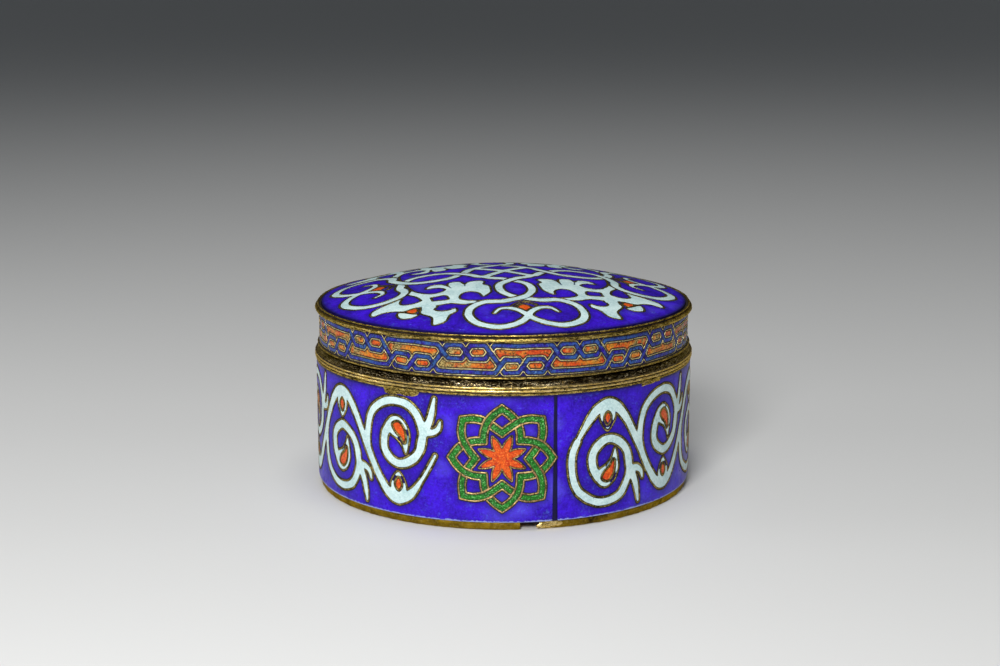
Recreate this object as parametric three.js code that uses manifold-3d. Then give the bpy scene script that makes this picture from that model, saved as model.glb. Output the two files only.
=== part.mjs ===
// A low round box of gilt copper under cloisonne enamel, with a slightly domed slip-on lid.
// Millimetres, +Z up, origin at the centre of the foot's underside, -Y towards the front.
// Azimuths are in degrees from the front, growing to the right seen from the front.
import * as THREE from "three";
import { mergeVertices } from "three/addons/utils/BufferGeometryUtils.js";
import Module from "manifold-3d";

const wasm = await Module();
wasm.setup();

// Facets round every turned piece
const facets = 48;

// Driving dimensions of the box
const bodyRadius = 50;
const footHeight = 2;
const footBevel = 0.5;
const footWidth = 5.2;
const footGapWidth = 5.4;
const footGapAzimuth = 7.7;
const bodyHeight = 32.5;
const wallThickness = 1;
const baseThickness = 1;
const bodyRimHeight = 3;
const bodyRimOverhang = 0.4;
const collarHeight = 6;
const collarDepth = 3.5;
const collarThickness = 0.8;
const seamWidth = 0.8;
const seamAzimuth = 14.7;

// Driving dimensions of the lid
const seatGap = 0.3;
const slipClearance = 0.3;
const lidRimHeight = 1.3;
const lidRimOverhang = 1.1;
const bandHeight = 7.8;
const lidWallThickness = 0.8;
const mouldingHeight = 2;
const mouldingOverhang = 1.3;
const domeRise = 7.2;
const domeCopper = 0.7;

// Enamel coats: the cobalt ground, the coloured cells that stand on it, and the plain coats inside
const groundDepth = 0.5;
const bandGroundDepth = 0.3;
const cellDepth = 0.3;
const liningDepth = 0.6;
const bondGap = 0.1;

// Ornament
const medallionAzimuth = -0.5;
const medallionWidth = 27;
const strapWidth = 2;
const petalCount = 8;
const petalLength = 5.9;
const petalWidth = 1.7;
const vineWidth = 2.6;
const vineBays = 6;
const vineMargin = 3.5;
const vineEdge = 4.05;
const domeStrapWidth = 2.7;
const domeTurn = 9;
const domeSquash = 4.5;
const cellGap = 0.35;
const bandRepeats = 11;
const bandAzimuth = 5.6;
const barLength = 13.4;
const barHeight = 1.3;
const barOffset = 1.35;
const barPoint = 0.9;
const barShoulder = 0.4;

// Radii of the box, from the outside in
const groundRadius = bodyRadius - cellDepth - bondGap;
const wallRadius = groundRadius - groundDepth - bondGap;
const liningRadius = wallRadius - wallThickness - bondGap;
const collarRadius = liningRadius - liningDepth - bondGap;
const collarBore = collarRadius - collarThickness;
const footRadius = wallRadius + groundDepth / 2;
const footBore = footRadius - footWidth;

// Levels of the box, from the table up
const baseTop = footHeight + bondGap + baseThickness;
const floorTop = baseTop + bondGap + liningDepth;
const bodyTop = footHeight + bodyHeight;
const rimTop = bodyTop + bodyRimHeight;
const collarTop = rimTop + collarHeight;

// Radii of the lid
const lidBore = collarRadius + slipClearance;
const lidWallRadius = lidBore + lidWallThickness;
const bandRadius = lidWallRadius + bondGap + bandGroundDepth;
const bandCellRadius = bandRadius + bondGap + cellDepth;

// Levels of the lid
const lidBottom = rimTop + seatGap;
const bandBottom = lidBottom + lidRimHeight;
const bandTop = bandBottom + bandHeight;
const domeEdge = bandTop + mouldingHeight;
const bandMiddle = (bandBottom + bandTop) / 2;

// Depths of the dome's layers under its outer surface
const groundTopDepth = cellDepth + bondGap;
const groundBottomDepth = groundTopDepth + groundDepth;
const copperTopDepth = groundBottomDepth + bondGap;
const copperBottomDepth = copperTopDepth + domeCopper;
const domeLiningTopDepth = copperBottomDepth + bondGap;
const domeLiningBottomDepth = domeLiningTopDepth + liningDepth;
const domeRings = 4;

// The ornament is drawn in units of its own: this many from the dome's axis to its edge,
// up a panel of the body, and along a bay of the vine
const domeUnitCount = 48.3;
const panelUnitCount = 32.5;
const bayUnitCount = 20.6;
const domeUnit = lidWallRadius / domeUnitCount;
const panelUnit = bodyHeight / panelUnitCount;
const panelMiddle = footHeight + bodyHeight / 2;

const gilt = { color: 0xb98f45, roughness: 0.42, metalness: 0.95 };
const copper = { color: 0xa5663c, roughness: 0.45, metalness: 0.95 };
const cobalt = { color: 0x2c17a8, roughness: 0.16, metalness: 0 };
const pale = { color: 0xb2dbda, roughness: 0.2, metalness: 0 };
const green = { color: 0x2e8430, roughness: 0.22, metalness: 0 };
const orange = { color: 0xe85a20, roughness: 0.24, metalness: 0 };
const lining = { color: 0x3f8f9c, roughness: 0.25, metalness: 0 };

// Corners closer than this are one
const sameSpot = 2e-4;

// A geometry as a manifold solid, with shared vertices and no collapsed faces
function solid(geometry) {
  const bare = new THREE.BufferGeometry();
  bare.setAttribute("position", geometry.getAttribute("position"));
  bare.setIndex(geometry.index);
  const merged = mergeVertices(bare, sameSpot / 2);
  const index = merged.index.array;
  const kept = [];
  for (let i = 0; i < index.length; i += 3) {
    const [a, b, c] = [index[i], index[i + 1], index[i + 2]];
    if (a !== b && b !== c && c !== a) kept.push(a, b, c);
  }
  return new wasm.Manifold(
    new wasm.Mesh({
      numProp: 3,
      vertProperties: merged.getAttribute("position").array,
      triVerts: new Uint32Array(kept),
    }),
  );
}

// A manifold solid as a named mesh of one finish
function piece(name, body, finish) {
  const made = body.getMesh();
  const geometry = new THREE.BufferGeometry();
  const positions = new THREE.BufferAttribute(made.vertProperties, made.numProp);
  geometry.setAttribute("position", positions);
  geometry.setIndex(new THREE.BufferAttribute(made.triVerts, 1));
  geometry.computeVertexNormals();
  const mesh = new THREE.Mesh(geometry, new THREE.MeshStandardMaterial(finish));
  mesh.name = name;
  return mesh;
}

// A turned solid. The profile runs anticlockwise, with the radius to the right and the height up.
function turned(profile) {
  const points = profile.map(([radius, height]) => new THREE.Vector2(radius, height));
  if (profile[0][0] > 0) points.push(points[0].clone());
  return solid(new THREE.LatheGeometry(points, facets).rotateX(Math.PI / 2));
}

function ring(innerRadius, outerRadius, low, high) {
  return turned([
    [innerRadius, low],
    [outerRadius, low],
    [outerRadius, high],
    [innerRadius, high],
  ]);
}

// The outer side of a moulding, from the bottom up. Its section gives shares of the overhang and
// of the height.
function mouldedSide(section, radius, overhang, bottom, height) {
  return section.map(([out, up]) => [radius + out * overhang, bottom + up * height]);
}

function disc(radius, low, high) {
  return turned([
    [0, low],
    [radius, low],
    [radius, high],
    [0, high],
  ]);
}

// An upright slab that reaches outwards from the axis, for cutting a slot at one azimuth
function radialSlab(azimuth, width, low, high) {
  const reach = 2 * bodyRadius;
  const slab = new THREE.BoxGeometry(width, reach, high - low);
  slab.translate(0, -reach / 2, (low + high) / 2);
  slab.rotateZ(THREE.MathUtils.degToRad(azimuth));
  return solid(slab);
}

// A flat drawing as an upright slab. Outlines are lists of [x, y] points.
function slabOf(outline, low, high, hole = null) {
  const asPath = (points) => points.map(([x, y]) => new THREE.Vector2(x, y));
  const shape = new THREE.Shape(asPath(outline));
  if (hole) shape.holes.push(new THREE.Path(asPath(hole)));
  const options = { depth: high - low, bevelEnabled: false };
  return solid(new THREE.ExtrudeGeometry(shape, options).translate(0, 0, low));
}

function joined(solids) {
  return solids.reduce((all, next) => all.add(next));
}

// Points at even steps along a smooth line through the given ones
function smooth(points, steps) {
  const vectors = points.map(([x, y]) => new THREE.Vector2(x, y));
  const curve = new THREE.SplineCurve(vectors);
  return curve.getSpacedPoints(steps).map((point) => [point.x, point.y]);
}

// The outline of a strip of a given width along a line. A taper narrows it towards its end.
function strip(line, width, taper = 0) {
  const left = [];
  const right = [];
  line.forEach(([x, y], i) => {
    const [ax, ay] = line[Math.max(i - 1, 0)];
    const [bx, by] = line[Math.min(i + 1, line.length - 1)];
    const length = Math.hypot(bx - ax, by - ay);
    const along = i / (line.length - 1);
    const half = (width / 2) * (1 - taper * along * along * along);
    const nx = (-(by - ay) / length) * half;
    const ny = ((bx - ax) / length) * half;
    left.push([x + nx, y + ny]);
    right.push([x - nx, y - ny]);
  });
  return right.concat(left.reverse());
}

// A closed line moved sideways by a distance, with sharp corners kept sharp
function offsetLoop(loop, distance) {
  return loop.map(([x, y], i) => {
    const [ax, ay] = loop[(i + loop.length - 1) % loop.length];
    const [bx, by] = loop[(i + 1) % loop.length];
    const before = new THREE.Vector2(x - ax, y - ay).normalize();
    const after = new THREE.Vector2(bx - x, by - y).normalize();
    const normal = new THREE.Vector2(before.y + after.y, -before.x - after.x).normalize();
    const stretch = distance / (normal.x * before.y - normal.y * before.x);
    return [x + normal.x * stretch, y + normal.y * stretch];
  });
}

function turnedPoints(points, degrees) {
  const angle = THREE.MathUtils.degToRad(degrees);
  return points.map(([x, y]) => [
    x * Math.cos(angle) - y * Math.sin(angle),
    x * Math.sin(angle) + y * Math.cos(angle),
  ]);
}

const mirroredLine = (points) => points.map(([x, y]) => [-x, y]);

// Cells laid round a cylinder

// The triangles of a slab's upper face, as lists of three [x, y] points
function faceTriangles(flat) {
  const mesh = flat.getMesh();
  const top = flat.boundingBox().max[2];
  const point = (i) => mesh.vertProperties.subarray(i * mesh.numProp, i * mesh.numProp + 3);
  const triangles = [];
  for (let i = 0; i < mesh.triVerts.length; i += 3) {
    const corners = [...mesh.triVerts.subarray(i, i + 3)].map(point);
    if (corners.every((corner) => Math.abs(corner[2] - top) < 1e-4)) {
      triangles.push(corners.map((corner) => [corner[0], corner[1]]));
    }
  }
  return triangles;
}

// A face with a side along a facet's edge, split at each corner that the face beyond has there
function matchedAlongCut(face, corners, facetWidth, shift) {
  const steps = (id) => (corners[id][0] + shift) / facetWidth;
  const onCut = (id) => Math.abs(steps(id) - Math.round(steps(id))) * facetWidth < sameSpot;
  for (let side = 0; side < 3; side += 1) {
    const [from, to, apex] = [0, 1, 2].map((turn) => face[(side + turn) % 3]);
    if (!onCut(from) || !onCut(to) || Math.round(steps(from)) !== Math.round(steps(to))) continue;
    const share = (id) =>
      (corners[id][1] - corners[from][1]) / (corners[to][1] - corners[from][1]);
    const between = corners
      .map((_, id) => id)
      .filter((id) => onCut(id) && Math.round(steps(id)) === Math.round(steps(from)))
      .filter((id) => id !== from && id !== to && share(id) > 0 && share(id) < 1)
      .sort((a, b) => share(a) - share(b));
    const chain = [from, ...between, to];
    return chain.slice(1).map((id, i) => [chain[i], id, apex]);
  }
  return [face];
}

// A flat slab, with x along the girth and y up, bent round the faceted cylinder as a plate.
// It is cut at every facet's edge first, so that each of its faces lies flat on one facet.
function wrapped(flat, innerRadius, outerRadius, drawnRadius, azimuth) {
  const facetAngle = (2 * Math.PI) / facets;
  const start = THREE.MathUtils.degToRad(azimuth);
  const facetWidth = facetAngle * drawnRadius;
  const { min, max } = flat.boundingBox();
  const first = Math.floor((min[0] / drawnRadius + start) / facetAngle);
  const last = Math.floor((max[0] / drawnRadius + start) / facetAngle);
  const corners = [];
  const numberOf = ([x, y]) => {
    const known = corners.findIndex((spot) => Math.hypot(spot[0] - x, spot[1] - y) < sameSpot);
    return known < 0 ? corners.push([x, y]) - 1 : known;
  };
  const faces = [];
  for (let n = first; n <= last; n += 1) {
    const window = new THREE.BoxGeometry(facetWidth, 4 * max[1], 4 * max[2]);
    window.translate((n + 0.5) * facetWidth - start * drawnRadius, 0, 0);
    for (const triangle of faceTriangles(flat.intersect(solid(window)))) {
      const face = triangle.map(numberOf);
      if (new Set(face).size === 3) faces.push(face);
    }
  }
  const shift = start * drawnRadius;
  const matched = faces.flatMap((face) => matchedAlongCut(face, corners, facetWidth, shift));
  const edges = new Set(matched.flatMap(([a, b, c]) => [a + " " + b, b + " " + c, c + " " + a]));
  const placed = (radius) =>
    corners.flatMap(([x, y]) => {
      const turn = (x / drawnRadius + start) / facetAngle;
      const low = Math.floor(turn + 1e-9);
      const share = turn - low;
      const lowAngle = low * facetAngle;
      const highAngle = lowAngle + facetAngle;
      return [
        radius * (Math.sin(lowAngle) * (1 - share) + Math.sin(highAngle) * share),
        -radius * (Math.cos(lowAngle) * (1 - share) + Math.cos(highAngle) * share),
        y,
      ];
    });
  const under = corners.length;
  const triangles = matched.flatMap(([a, b, c]) => [a, b, c, under + c, under + b, under + a]);
  for (const edge of edges) {
    const [a, b] = edge.split(" ").map(Number);
    if (!edges.has(b + " " + a)) {
      triangles.push(b, a, under + a, b, under + a, under + b);
    }
  }
  const geometry = new THREE.BufferGeometry();
  const positions = new Float32Array([...placed(outerRadius), ...placed(innerRadius)]);
  geometry.setAttribute("position", new THREE.BufferAttribute(positions, 3));
  geometry.setIndex(triangles);
  return solid(geometry);
}

function bodyCell(flat, azimuth) {
  return wrapped(flat, bodyRadius - cellDepth, bodyRadius, bodyRadius, azimuth);
}

// Cells laid on the dome

// Height of the dome's outer surface at a distance from the axis
function domeHeight(radius) {
  const sphere = (lidWallRadius ** 2 + domeRise ** 2) / (2 * domeRise);
  return domeEdge + domeRise - sphere + Math.sqrt(sphere ** 2 - radius ** 2);
}

// One layer of the dome, between two depths under its outer surface
function domeLayer(radius, topDepth, bottomDepth) {
  const radii = [];
  for (let n = 0; n < domeRings; n += 1) radii.push((n * lidWallRadius) / domeRings);
  radii.push(radius);
  const under = radii.map((r) => [r, domeHeight(r) - bottomDepth]);
  const over = radii.map((r) => [r, domeHeight(r) - topDepth]);
  return turned([...under, ...over.reverse()]);
}

// A drawn point of the dome, with x across and y outwards from the axis, seen from above.
// The quarters next to the front are a little narrower than those behind.
function onDome([x, y], quarter = 0) {
  const angle = Math.atan2(x, y) + (quarter * Math.PI) / 2;
  const squash = THREE.MathUtils.degToRad(domeSquash) * Math.sin(angle);
  const turn = angle - squash + THREE.MathUtils.degToRad(domeTurn);
  const distance = Math.hypot(x, y) * domeUnit;
  return [distance * Math.sin(turn), -distance * Math.cos(turn)];
}

function domeSlab(outline, quarter) {
  const placed = outline.map((point) => onDome(point, quarter));
  return slabOf(placed, bandTop, domeEdge + 2 * domeRise);
}

function domeCell(slab) {
  return slab.intersect(domeLayer(lidWallRadius, 0, cellDepth));
}

// Half of the knot that stands on each of the dome's four axes: a ring with a curled tip,
// and the strand that rises from it to the next knot
const ringLine = [
  [0.9, 27.6],
  [5.4, 29],
  [10.3, 28.5],
  [13.8, 30.8],
  [15.5, 35],
  [14.6, 39.6],
  [12, 42.3],
  [8, 43.8],
  [4.1, 42.8],
  [1.2, 40.4],
  [-1.6, 35.9],
  [-4.1, 33.9],
  [-6.6, 33.9],
  [-8.4, 36.2],
];
const strandLine = [
  [0.9, 27.6],
  [-2.4, 25.3],
  [-4.4, 20.6],
  [-3.6, 15.4],
  [-0.5, 12],
  [2.4, 9.6],
  [6, 7.4],
];

const ringTaper = 0.5;
const ringSteps = 12;
const strandSteps = 6;

function knotSlab(quarter, extra) {
  const width = (domeStrapWidth + 2 * extra) / domeUnit;
  const ring = strip(smooth(ringLine, ringSteps), width, ringTaper);
  const strand = strip(smooth(strandLine, strandSteps), width);
  const outlines = [ring, strand, mirroredLine(ring), mirroredLine(strand)];
  return joined(outlines.map((outline) => domeSlab(outline, quarter)));
}

// The palmette between two knots: a lobed fan on two stems round a square eye,
// the outer stem with a split leaf on each side
const fanOutline = [
  [10, 24.3],
  [7.6, 21.6],
  [7.1, 16],
  [8, 13.9],
  [7.7, 11.2],
  [11.6, 10.3],
  [13, 13],
  [14, 9.4],
  [16.4, 9],
  [17.6, 11.9],
  [18.9, 9.4],
  [21.2, 9],
  [22.9, 11.4],
  [20, 12],
  [18.4, 14.6],
  [19.4, 16.4],
  [22, 17],
  [24.4, 16],
  [26, 20],
  [19.3, 19.7],
  [19, 23.3],
  [25.6, 22.8],
  [26, 26],
  [21, 25.9],
  [15.2, 28.6],
  [11.2, 27.2],
  [14.3, 26.1],
  [16.2, 23.6],
  [15.4, 20.4],
  [12.8, 19.3],
  [10.4, 21],
];
const stemLine = [
  [28.3, 7.4],
  [27.6, 12.4],
  [25.1, 16.8],
  [24.4, 21],
  [25.6, 26],
  [26, 30],
];
const upperLeafOutline = [
  [25, 22.2],
  [29.4, 21.6],
  [31, 19.8],
  [30.9, 16.4],
  [35, 18],
  [38.4, 19.9],
  [38.8, 23],
  [33.6, 23.4],
  [31, 25.3],
  [25.4, 26],
];
const lowerLeafOutline = [
  [24, 26.4],
  [27.1, 28.8],
  [24.9, 33.4],
  [24.8, 37.4],
  [22, 36.4],
  [20.4, 33.4],
  [18.2, 31.2],
  [22.4, 30.4],
  [23.8, 28.6],
];

const stemSteps = 5;

function palmetteSlab(quarter, mirrored) {
  const side = mirrored ? mirroredLine : (points) => points;
  const stem = strip(smooth(stemLine, stemSteps), domeStrapWidth / domeUnit);
  const outlines = [fanOutline, stem, upperLeafOutline, lowerLeafOutline];
  return joined(outlines.map((outline) => domeSlab(side(outline), quarter)));
}

// The two bars that cross at the apex
const crossLine = [
  [-5.4, 5.4],
  [0, 0],
  [5.4, -5.4],
];

function crossSlab() {
  const bar = strip(crossLine, domeStrapWidth / domeUnit);
  return domeSlab(bar, 0).add(domeSlab(mirroredLine(bar), 0));
}

// The small red cell in the mouth of each ring
const diamondOutline = [
  [-0.2, 31.9],
  [1.6, 33.8],
  [-0.2, 36.3],
  [-1.9, 33.6],
];

function domeOrnament() {
  const sides = ["front", "right", "back", "left"];
  const quarters = [0, 1, 2, 3];
  const knots = quarters.map((quarter) => knotSlab(quarter, 0));
  const diamonds = quarters.map((quarter) => domeSlab(diamondOutline, quarter));
  const reserved = joined(quarters.map((quarter) => knotSlab(quarter, cellGap)));
  const palmettes = [
    palmetteSlab(0, false),
    palmetteSlab(2, true),
    palmetteSlab(2, false),
    palmetteSlab(0, true),
  ].map((slab) => slab.subtract(reserved));
  const corners = ["front_right", "back_right", "back_left", "front_left"];
  const group = new THREE.Group();
  quarters.forEach((n) => {
    group.add(piece("dome_knot_" + sides[n], domeCell(knots[n]), pale));
    group.add(piece("dome_palmette_" + corners[n], domeCell(palmettes[n]), pale));
    group.add(piece("dome_diamond_" + sides[n], domeCell(diamonds[n]), orange));
  });
  group.add(piece("dome_cross", domeCell(crossSlab().subtract(reserved)), pale));
  return group;
}

// Medallions of the body: two four-cornered straps laid through each other round a star

// One eighth of each strap, from an outer corner to the next inner one
const ogeeEighth = [
  [0, 12.5],
  [1.9, 11.1],
  [3.5, 9.2],
  [4.3, 7],
  [4.5, 4.5],
];
const squareEighth = [
  [0, 6.5],
  [2.1, 8.1],
  [4.3, 9.4],
  [6.8, 9.9],
  [9.6, 9.6],
];

// The ogee's tips reach to the medallion's edge
const medallionUnit = (medallionWidth - strapWidth) / (2 * ogeeEighth[0][1]);

function strapLoop(eighth) {
  const mirror = eighth.slice(1, -1).reverse().map(([x, y]) => [y, x]);
  const quarter = [...eighth, ...mirror].map(([x, y]) => [x * medallionUnit, y * medallionUnit]);
  return [0, -90, -180, -270].flatMap((degrees) => turnedPoints(quarter, degrees)).reverse();
}

function medallionSlab() {
  const straps = [ogeeEighth, squareEighth].map((eighth) => {
    const loop = strapLoop(eighth);
    const outer = offsetLoop(loop, strapWidth / 2);
    const inner = offsetLoop(loop, -strapWidth / 2);
    return slabOf(outer, 0, 1, inner);
  });
  return joined(straps).translate([0, panelMiddle, 0]);
}

// One side of a petal, as shares of its half width and of its length
const petalSide = [
  [0.6, 0],
  [1, 0.6],
  [0.7, 0.85],
  [0, 1],
];

function starSlab() {
  const side = petalSide.map(([across, up]) => [(across * petalWidth) / 2, up * petalLength]);
  const petal = [...side, ...mirroredLine(side.slice(0, -1)).reverse()];
  const turns = Array.from({ length: petalCount }, (_, n) => ((n + 0.5) * 360) / petalCount);
  const petals = turns.map((degrees) => slabOf(turnedPoints(petal, degrees), 0, 1));
  return joined(petals).translate([0, panelMiddle, 0]);
}

// Panels between the medallions: a running vine whose every bay holds a curled shoot
const shootLine = [
  [-9.5, 1],
  [-9.6, -3.5],
  [-8.2, -9],
  [-2.4, -12.8],
  [4, -11.4],
  [7, -5.6],
  [5.2, 0.8],
  [-0.2, 3.4],
  [-4.2, -0.2],
  [-3, -4.6],
];
const leafLine = [
  [6.2, -3.2],
  [9.4, -8.4],
  [10.4, -13.2],
];

const shootTaper = 0.35;
const leafTaper = 0.8;
const shootSteps = 9;
const leafSteps = 3;
const stepsPerBay = 4;

function vineSlab() {
  const halfGirth = Math.PI * bodyRadius;
  const clear = medallionWidth / 2 + vineMargin;
  const bay = (halfGirth - 2 * clear) / vineBays;
  const middle = (n) => clear + (n + 0.5) * bay;
  const wave = bodyHeight / 2 - vineEdge;
  const stem = [];
  for (let n = 0; n <= vineBays * stepsPerBay; n += 1) {
    const along = n / stepsPerBay;
    stem.push([clear + along * bay, wave * Math.sin(along * Math.PI)]);
  }
  const slabs = [slabOf(strip(stem, vineWidth), 0, 1)];
  const across = bay / bayUnitCount;
  for (let n = 0; n < vineBays; n += 1) {
    const up = n % 2 === 0 ? 1 : -1;
    const place = ([x, y]) => [middle(n) + x * across, up * y * panelUnit];
    const shoots = [
      strip(smooth(shootLine, shootSteps).map(place), vineWidth, shootTaper),
      strip(smooth(leafLine, leafSteps).map(place), vineWidth, leafTaper),
    ];
    for (const shoot of shoots) slabs.push(slabOf(shoot, 0, 1));
  }
  return joined(slabs).translate([0, panelMiddle, 0]);
}

function bodyOrnament() {
  const group = new THREE.Group();
  const medallion = medallionSlab();
  const star = starSlab();
  const vine = vineSlab();
  const opposite = medallionAzimuth + 180;
  group.add(piece("medallion_front", bodyCell(medallion, medallionAzimuth), green));
  group.add(piece("medallion_back", bodyCell(medallion, opposite), green));
  group.add(piece("star_front", bodyCell(star, medallionAzimuth), orange));
  group.add(piece("star_back", bodyCell(star, opposite), orange));
  group.add(piece("vine_right", bodyCell(vine, medallionAzimuth), pale));
  group.add(piece("vine_left", bodyCell(vine, opposite), pale));
  return group;
}

// Orange bars of the lid's band, an upper and a lower row half a repeat apart
function bandBars() {
  const half = barLength / 2;
  const group = new THREE.Group();
  const outline = [
    [-half + barPoint, -barHeight / 2],
    [half - barPoint, -barHeight / 2],
    [half, barHeight / 6],
    [half - barShoulder, barHeight / 2],
    [-half + barShoulder, barHeight / 2],
    [-half, barHeight / 6],
  ];
  const lower = outline.map(([x, y]) => [x, -y]).reverse();
  const spacing = 360 / bandRepeats;
  for (let n = 0; n < bandRepeats; n += 1) {
    const rows = [
      ["upper", outline, barOffset, 0],
      ["lower", lower, -barOffset, 0.5],
    ];
    for (const [row, shape, rise, shift] of rows) {
      const flat = slabOf(shape, 0, 1).translate([0, bandMiddle + rise, 0]);
      const azimuth = bandAzimuth + (n + shift) * spacing;
      const bar = wrapped(flat, bandRadius + bondGap, bandCellRadius, bandRadius, azimuth);
      group.add(piece("band_bar_" + row + "_" + (n + 1), bar, orange));
    }
  }
  return group;
}

// The box

function footRing() {
  const whole = turned([
    [footBore, 0],
    [footRadius - footBevel, 0],
    [footRadius, footBevel],
    [footRadius, footHeight - footBevel],
    [footRadius - footBevel, footHeight],
    [footBore, footHeight],
  ]);
  return whole.subtract(radialSlab(footGapAzimuth, footGapWidth, -1, footHeight + 1));
}

function bodyEnamel() {
  const low = footHeight + bondGap;
  const high = bodyTop - bondGap;
  const coat = ring(wallRadius + bondGap, groundRadius, low, high);
  return coat.subtract(radialSlab(seamAzimuth, seamWidth, low - 1, high + 1));
}

// Two beads under a sloping shoulder
const bodyRimSection = [
  [0.25, 0],
  [1, 0.17],
  [0.25, 0.33],
  [1, 0.44],
  [0.25, 0.55],
  [-2, 1],
];

function bodyRim() {
  return turned([
    [collarRadius + bondGap, bodyTop],
    ...mouldedSide(bodyRimSection, bodyRadius, bodyRimOverhang, bodyTop, bodyRimHeight),
    [collarRadius + bondGap, rimTop],
  ]);
}

// The collar is drawn in a little at the top, so that the lid finds its way over it
function innerCollar() {
  const lead = collarThickness / 3;
  return turned([
    [collarBore, bodyTop - collarDepth],
    [collarRadius, bodyTop - collarDepth],
    [collarRadius, collarTop - 2 * lead],
    [collarRadius - lead, collarTop],
    [collarBore, collarTop],
  ]);
}

function box() {
  const group = new THREE.Group();
  const underCoat = disc(footBore - bondGap, footHeight - liningDepth, footHeight);
  const basePlate = disc(wallRadius, footHeight + bondGap, baseTop);
  const wallBottom = baseTop + bondGap;
  const wall = ring(liningRadius + bondGap, wallRadius, wallBottom, bodyTop - bondGap);
  const wallLining = ring(collarRadius + bondGap, liningRadius, wallBottom, bodyTop - bondGap);
  const floorLining = disc(collarRadius, wallBottom, floorTop);
  group.add(piece("foot_ring", footRing(), gilt));
  group.add(piece("base_enamel", underCoat, lining));
  group.add(piece("base_plate", basePlate, copper));
  group.add(piece("body_wall", wall, copper));
  group.add(piece("body_lining", wallLining, lining));
  group.add(piece("floor_lining", floorLining, lining));
  group.add(piece("body_enamel", bodyEnamel(), cobalt));
  group.add(piece("body_rim", bodyRim(), gilt));
  group.add(piece("inner_collar", innerCollar(), gilt));
  group.add(bodyOrnament());
  return group;
}

// The lid

const lidRimSection = [
  [0, 0],
  [0.76, 0.2],
  [1, 0.55],
  [0.76, 1],
];

function lidRim() {
  return turned([
    [lidBore, lidBottom],
    ...mouldedSide(lidRimSection, bandRadius, lidRimOverhang, lidBottom, lidRimHeight),
    [lidBore, bandBottom],
  ]);
}

// Two beads round the edge of the dome
const lidMouldingSection = [
  [0.5, 0],
  [1, 0.24],
  [0.7, 0.48],
  [1, 0.72],
  [0.7, 1],
];

function lidMoulding() {
  return turned([
    [lidWallRadius + bondGap, bandTop],
    ...mouldedSide(lidMouldingSection, bandRadius, mouldingOverhang, bandTop, mouldingHeight),
    [lidWallRadius + bondGap, domeEdge],
  ]);
}

function lid() {
  const group = new THREE.Group();
  const wallTop = domeHeight(lidWallRadius) - copperBottomDepth - bondGap;
  const wall = ring(lidBore, lidWallRadius, bandBottom + bondGap, wallTop);
  const band = ring(lidWallRadius + bondGap, bandRadius, bandBottom + bondGap, bandTop - bondGap);
  const domeLining = domeLayer(lidBore - bondGap, domeLiningTopDepth, domeLiningBottomDepth);
  const domeSheet = domeLayer(lidWallRadius, copperTopDepth, copperBottomDepth);
  const domeGround = domeLayer(lidWallRadius, groundTopDepth, groundBottomDepth);
  group.add(piece("lid_rim", lidRim(), gilt));
  group.add(piece("lid_wall", wall, copper));
  group.add(piece("band_enamel", band, cobalt));
  group.add(piece("lid_moulding", lidMoulding(), gilt));
  group.add(piece("lid_dome", domeSheet, copper));
  group.add(piece("dome_lining", domeLining, lining));
  group.add(piece("dome_enamel", domeGround, cobalt));
  group.add(bandBars());
  group.add(domeOrnament());
  return group;
}

const liddedBox = new THREE.Group();
liddedBox.add(box(), lid());

export default liddedBox;
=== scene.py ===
"""A round gilt box under cloisonne enamel, with a slightly domed lid, dressed for its picture.

Lengths are in millimetres until a mesh is made. Azimuths are in degrees from the front, growing
to the right seen from the front. Flat drawings have x along the girth, or across the dome.
"""

import math

import bpy
import numpy as np
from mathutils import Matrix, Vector
from mathutils.geometry import delaunay_2d_cdt


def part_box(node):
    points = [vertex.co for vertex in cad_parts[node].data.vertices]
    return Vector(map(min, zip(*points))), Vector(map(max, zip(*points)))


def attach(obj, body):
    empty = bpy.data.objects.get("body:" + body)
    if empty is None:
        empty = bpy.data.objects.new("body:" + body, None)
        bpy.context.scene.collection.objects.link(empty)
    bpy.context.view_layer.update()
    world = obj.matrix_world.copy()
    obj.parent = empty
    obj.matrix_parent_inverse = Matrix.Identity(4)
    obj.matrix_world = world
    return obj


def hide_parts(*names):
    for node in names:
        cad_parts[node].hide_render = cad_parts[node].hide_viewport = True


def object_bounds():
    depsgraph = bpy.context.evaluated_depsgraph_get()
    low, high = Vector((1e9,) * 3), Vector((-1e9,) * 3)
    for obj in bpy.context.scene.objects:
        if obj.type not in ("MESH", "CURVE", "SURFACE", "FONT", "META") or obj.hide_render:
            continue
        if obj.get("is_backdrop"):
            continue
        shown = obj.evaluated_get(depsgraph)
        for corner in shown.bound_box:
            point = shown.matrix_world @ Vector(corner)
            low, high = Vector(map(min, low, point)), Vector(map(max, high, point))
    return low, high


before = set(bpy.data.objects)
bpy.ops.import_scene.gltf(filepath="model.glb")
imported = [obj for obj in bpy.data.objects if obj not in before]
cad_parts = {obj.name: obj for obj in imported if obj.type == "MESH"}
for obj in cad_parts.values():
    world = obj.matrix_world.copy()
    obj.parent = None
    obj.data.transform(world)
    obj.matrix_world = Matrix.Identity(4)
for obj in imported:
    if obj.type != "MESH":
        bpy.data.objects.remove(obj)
cad_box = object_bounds()

MM = 0.001
TINY = 1e-12


def outer_radius(node):
    """How far a node reaches from the axis."""
    return max(math.hypot(v.co.x, v.co.y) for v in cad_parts[node].data.vertices) / MM


def bottom(node):
    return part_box(node)[0].z / MM


def top(node):
    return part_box(node)[1].z / MM


# Sizes that the frame gives

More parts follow.
